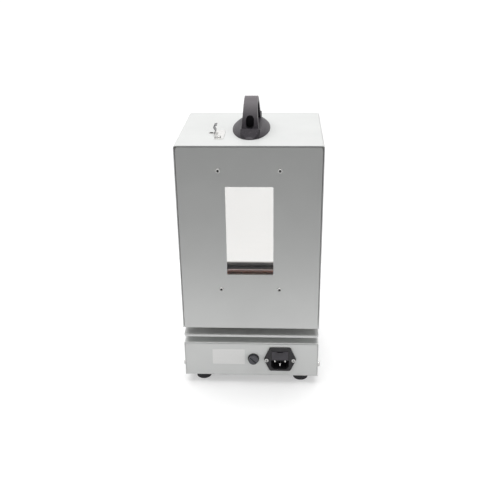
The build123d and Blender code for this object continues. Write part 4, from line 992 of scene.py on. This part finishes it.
class FURNACE_OT_door_screws(bpy.types.Operator):
    """Add the screws of the hinge leaves and of the door's inner panel"""

    bl_idname = "furnace.door_screws"
    bl_label = "Add door screws"

    def execute(self, context):
        sizes = context.scene.furnace_sizes
        drive = sizes.drive_width / 2
        low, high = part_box("hinge_body_leaves")
        leaf, edge_distance, head_height = 24.0 * MM, 5.0 * MM, 0.7 * MM
        spread = leaf * 0.3
        heads = []
        for z in (low.z + leaf / 2, high.z - leaf / 2):
            for shift in (-spread, spread):
                start = np.array((low.x - CAST_START, high.y - edge_distance, z + shift))
                place, normal = seat_on("hinge_body_leaves", start, X_AXIS)
                heads.append(domed_head(place, normal, sizes.hinge_screw, head_height, drive))
        loops_mesh("hinge_leaf_screws", heads, "screw", "furnace")
        low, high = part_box("door_inner")
        inset, head_height = 12.0 * MM, 1.0 * MM
        heads = []
        for x in (low.x + inset, high.x - inset):
            for share in (0.06, 0.36, 0.64, 0.94):
                centre = np.array((x, high.y, low.z + (high.z - low.z) * share))
                heads.append(domed_head(centre, Y_AXIS, sizes.door_screw, head_height, drive))
        loops_mesh("inner_panel_screws", heads, "screw", "door")
        return {"FINISHED"}


# ---- Stage ----
def seen_rays(tree):
    """Socket that is 1 for rays from the camera, a mirror or a window, and 0 for light that bounces."""
    new, link = tree.nodes.new, tree.links.new
    path = new("ShaderNodeLightPath")
    seen = path.outputs["Is Camera Ray"]
    for ray in ("Is Transmission Ray", "Is Glossy Ray"):
        either = new("ShaderNodeMath")
        either.operation = "MAXIMUM"
        link(seen, either.inputs[0])
        link(path.outputs[ray], either.inputs[1])
        seen = either.outputs[0]
    return seen


def stage_material(name, shade_white, own_white, bounce):
    """Matt floor, white where it is looked at, which bounces the light of a plain grey.

    Where it is looked at, it shows its shaded white and adds a white of its own.
    """
    material = bpy.data.materials.new(name)
    material.use_nodes = True
    tree = material.node_tree
    tree.nodes.clear()
    new, link = tree.nodes.new, tree.links.new
    output = new("ShaderNodeOutputMaterial")
    diffuse = new("ShaderNodeBsdfDiffuse")
    glow = new("ShaderNodeEmission")
    add = new("ShaderNodeAddShader")
    tint = new("ShaderNodeMix")
    tint.data_type = "RGBA"
    tint.inputs["A"].default_value = (bounce, bounce, bounce, 1.0)
    tint.inputs["B"].default_value = (shade_white, shade_white, shade_white, 1.0)
    strength = new("ShaderNodeMath")
    strength.operation = "MULTIPLY"
    strength.inputs[1].default_value = own_white
    seen = seen_rays(tree)
    link(seen, tint.inputs["Factor"])
    link(tint.outputs["Result"], diffuse.inputs["Color"])
    link(seen, strength.inputs[0])
    link(strength.outputs[0], glow.inputs["Strength"])
    link(diffuse.outputs[0], add.inputs[0])
    link(glow.outputs[0], add.inputs[1])
    link(add.outputs[0], output.inputs["Surface"])
    return material


def stage_world(sky):
    """Even sky for light, plain white where a camera, a mirror or a window looks at it."""
    world = bpy.data.worlds.new("studio")
    bpy.context.scene.world = world
    world.use_nodes = True
    tree = world.node_tree
    tree.nodes.clear()
    new, link = tree.nodes.new, tree.links.new
    output = new("ShaderNodeOutputWorld")
    mix = new("ShaderNodeMixShader")
    link(seen_rays(tree), mix.inputs["Fac"])
    for socket, strength in ((1, sky), (2, 1.0)):
        background = new("ShaderNodeBackground")
        background.inputs["Color"].default_value = (1.0, 1.0, 1.0, 1.0)
        background.inputs["Strength"].default_value = strength
        link(background.outputs[0], mix.inputs[socket])
    link(mix.outputs[0], output.inputs["Surface"])


def stage_card(name, place, target, width, height, white):
    """Area lamp that lights as a card of a given white would, facing the target, and isn't seen."""
    data = bpy.data.lights.new(name, "AREA")
    data.shape = "RECTANGLE"
    data.size = width
    data.size_y = height
    data.energy = white * width * height * math.pi
    card = bpy.data.objects.new(name, data)
    card.location = place
    card.rotation_euler = (Vector(target) - Vector(place)).to_track_quat("-Z", "Y").to_euler()
    card.visible_camera = False
    card.visible_transmission = False
    card.visible_glossy = False
    bpy.context.scene.collection.objects.link(card)


def stage_camera(stage):
    """Camera from its place, yaw, pitch and roll."""
    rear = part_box("housing_wrap")[1].y
    yaw, pitch, roll = (math.radians(value) for value in (stage.yaw, stage.pitch, stage.roll))
    level = math.cos(pitch)
    ahead = Vector((-math.sin(yaw) * level, -math.cos(yaw) * level, -math.sin(pitch)))
    right = ahead.cross(Vector((0, 0, 1))).normalized()
    up = right.cross(ahead)
    turned_right = right * math.cos(roll) + up * math.sin(roll)
    turned_up = up * math.cos(roll) - right * math.sin(roll)
    data = bpy.data.cameras.new("camera")
    data.sensor_width = 36.0
    data.lens = stage.focal
    data.clip_end = 60.0
    camera = bpy.data.objects.new("camera", data)
    turn = Matrix((turned_right, turned_up, -ahead)).transposed().to_4x4()
    place = (-stage.camera_x, rear + stage.camera_back, stage.camera_height)
    camera.matrix_world = Matrix.Translation(place) @ turn
    bpy.context.scene.collection.objects.link(camera)
    bpy.context.scene.camera = camera


class FURNACE_OT_stage(bpy.types.Operator):
    """Build the floor, the lamps, the sky and the camera"""

    bl_idname = "furnace.stage"
    bl_label = "Build stage"

    def execute(self, context):
        stage = context.scene.furnace_stage
        context.scene.view_settings.view_transform = "Standard"
        stage_camera(stage)
        stage_world(stage.sky)
        reach = stage.floor_reach
        corners = [(-reach, -reach, 0), (reach, -reach, 0), (reach, reach, 0), (-reach, reach, 0)]
        mesh = bpy.data.meshes.new("floor")
        mesh.from_pydata(corners, [], [(0, 1, 2, 3)])
        whites = (stage.floor_shade, stage.floor_white, stage.floor_bounce)
        mesh.materials.append(stage_material("floor_white", *whites))
        floor = bpy.data.objects.new("floor", mesh)
        context.scene.collection.objects.link(floor)
        sun = bpy.data.lights.new("overhead", "SUN")
        sun.energy = stage.overhead
        sun.angle = math.radians(stage.sun_spread)
        lamp = bpy.data.objects.new("overhead", sun)
        lamp.rotation_euler = (math.radians(stage.sun_tilt), math.radians(stage.sun_lean), 0.0)
        context.scene.collection.objects.link(lamp)
        low, high = cad_box
        half = (Vector(high) - Vector(low)) / 2
        for turn in range(4):
            side = Vector((math.sin(turn * math.pi / 2), math.cos(turn * math.pi / 2), 0.0))
            beside = turn % 2 == 1
            tall = stage.side_card if beside else stage.end_card
            foot = stage.side_card_foot if beside else 0.0
            white = stage.side_white if beside else stage.end_white
            reach = abs(side.x) * half.x + abs(side.y) * half.y + stage.card_distance
            place = side * reach + Vector((0.0, 0.0, foot + tall / 2))
            target = Vector((0.0, 0.0, foot + 2 * tall / 3))
            stage_card(f"low_card_{turn}", place, target, stage.card_width, tall, white)
        return {"FINISHED"}


class FURNACE_PT_panel(bpy.types.Panel):
    """Lists the settings and the steps that build the furnace"""

    bl_idname = "FURNACE_PT_panel"
    bl_label = "Furnace"
    bl_space_type = "VIEW_3D"
    bl_region_type = "UI"
    bl_category = "Furnace"

    def draw(self, context):
        scene = context.scene
        for group in (scene.furnace_look, scene.furnace_sizes, scene.furnace_stage):
            for key in group.__annotations__:
                self.layout.prop(group, key)
        for operator in steps:
            self.layout.operator(operator.bl_idname)


steps = (
    FURNACE_OT_stage,
    FURNACE_OT_housing,
    FURNACE_OT_chamber,
    FURNACE_OT_top,
    FURNACE_OT_electrics,
    FURNACE_OT_door,
    FURNACE_OT_label,
    FURNACE_OT_rear_window,
    FURNACE_OT_inlet_recesses,
    FURNACE_OT_handle_lining,
    FURNACE_OT_display_marks,
    FURNACE_OT_switch_marks,
    FURNACE_OT_door_screws,
)
classes = (FurnaceLook, FurnaceSizes, FurnaceStage, *steps, FURNACE_PT_panel)


def register():
    """Register the classes and attach the settings to the scene."""
    for cls in classes:
        bpy.utils.register_class(cls)
    bpy.types.Scene.furnace_look = PointerProperty(type=FurnaceLook)
    bpy.types.Scene.furnace_sizes = PointerProperty(type=FurnaceSizes)
    bpy.types.Scene.furnace_stage = PointerProperty(type=FurnaceStage)


def unregister():
    """Remove the settings and the classes."""
    del bpy.types.Scene.furnace_stage
    del bpy.types.Scene.furnace_sizes
    del bpy.types.Scene.furnace_look
    for cls in reversed(classes):
        bpy.utils.unregister_class(cls)


def main():
    """Build the furnace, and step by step."""
    register()
    make_finishes(bpy.context.scene.furnace_look)
    for operator in steps:
        family, name = operator.bl_idname.split(".")
        getattr(getattr(bpy.ops, family), name)()


if __name__ == "__main__":
    main()
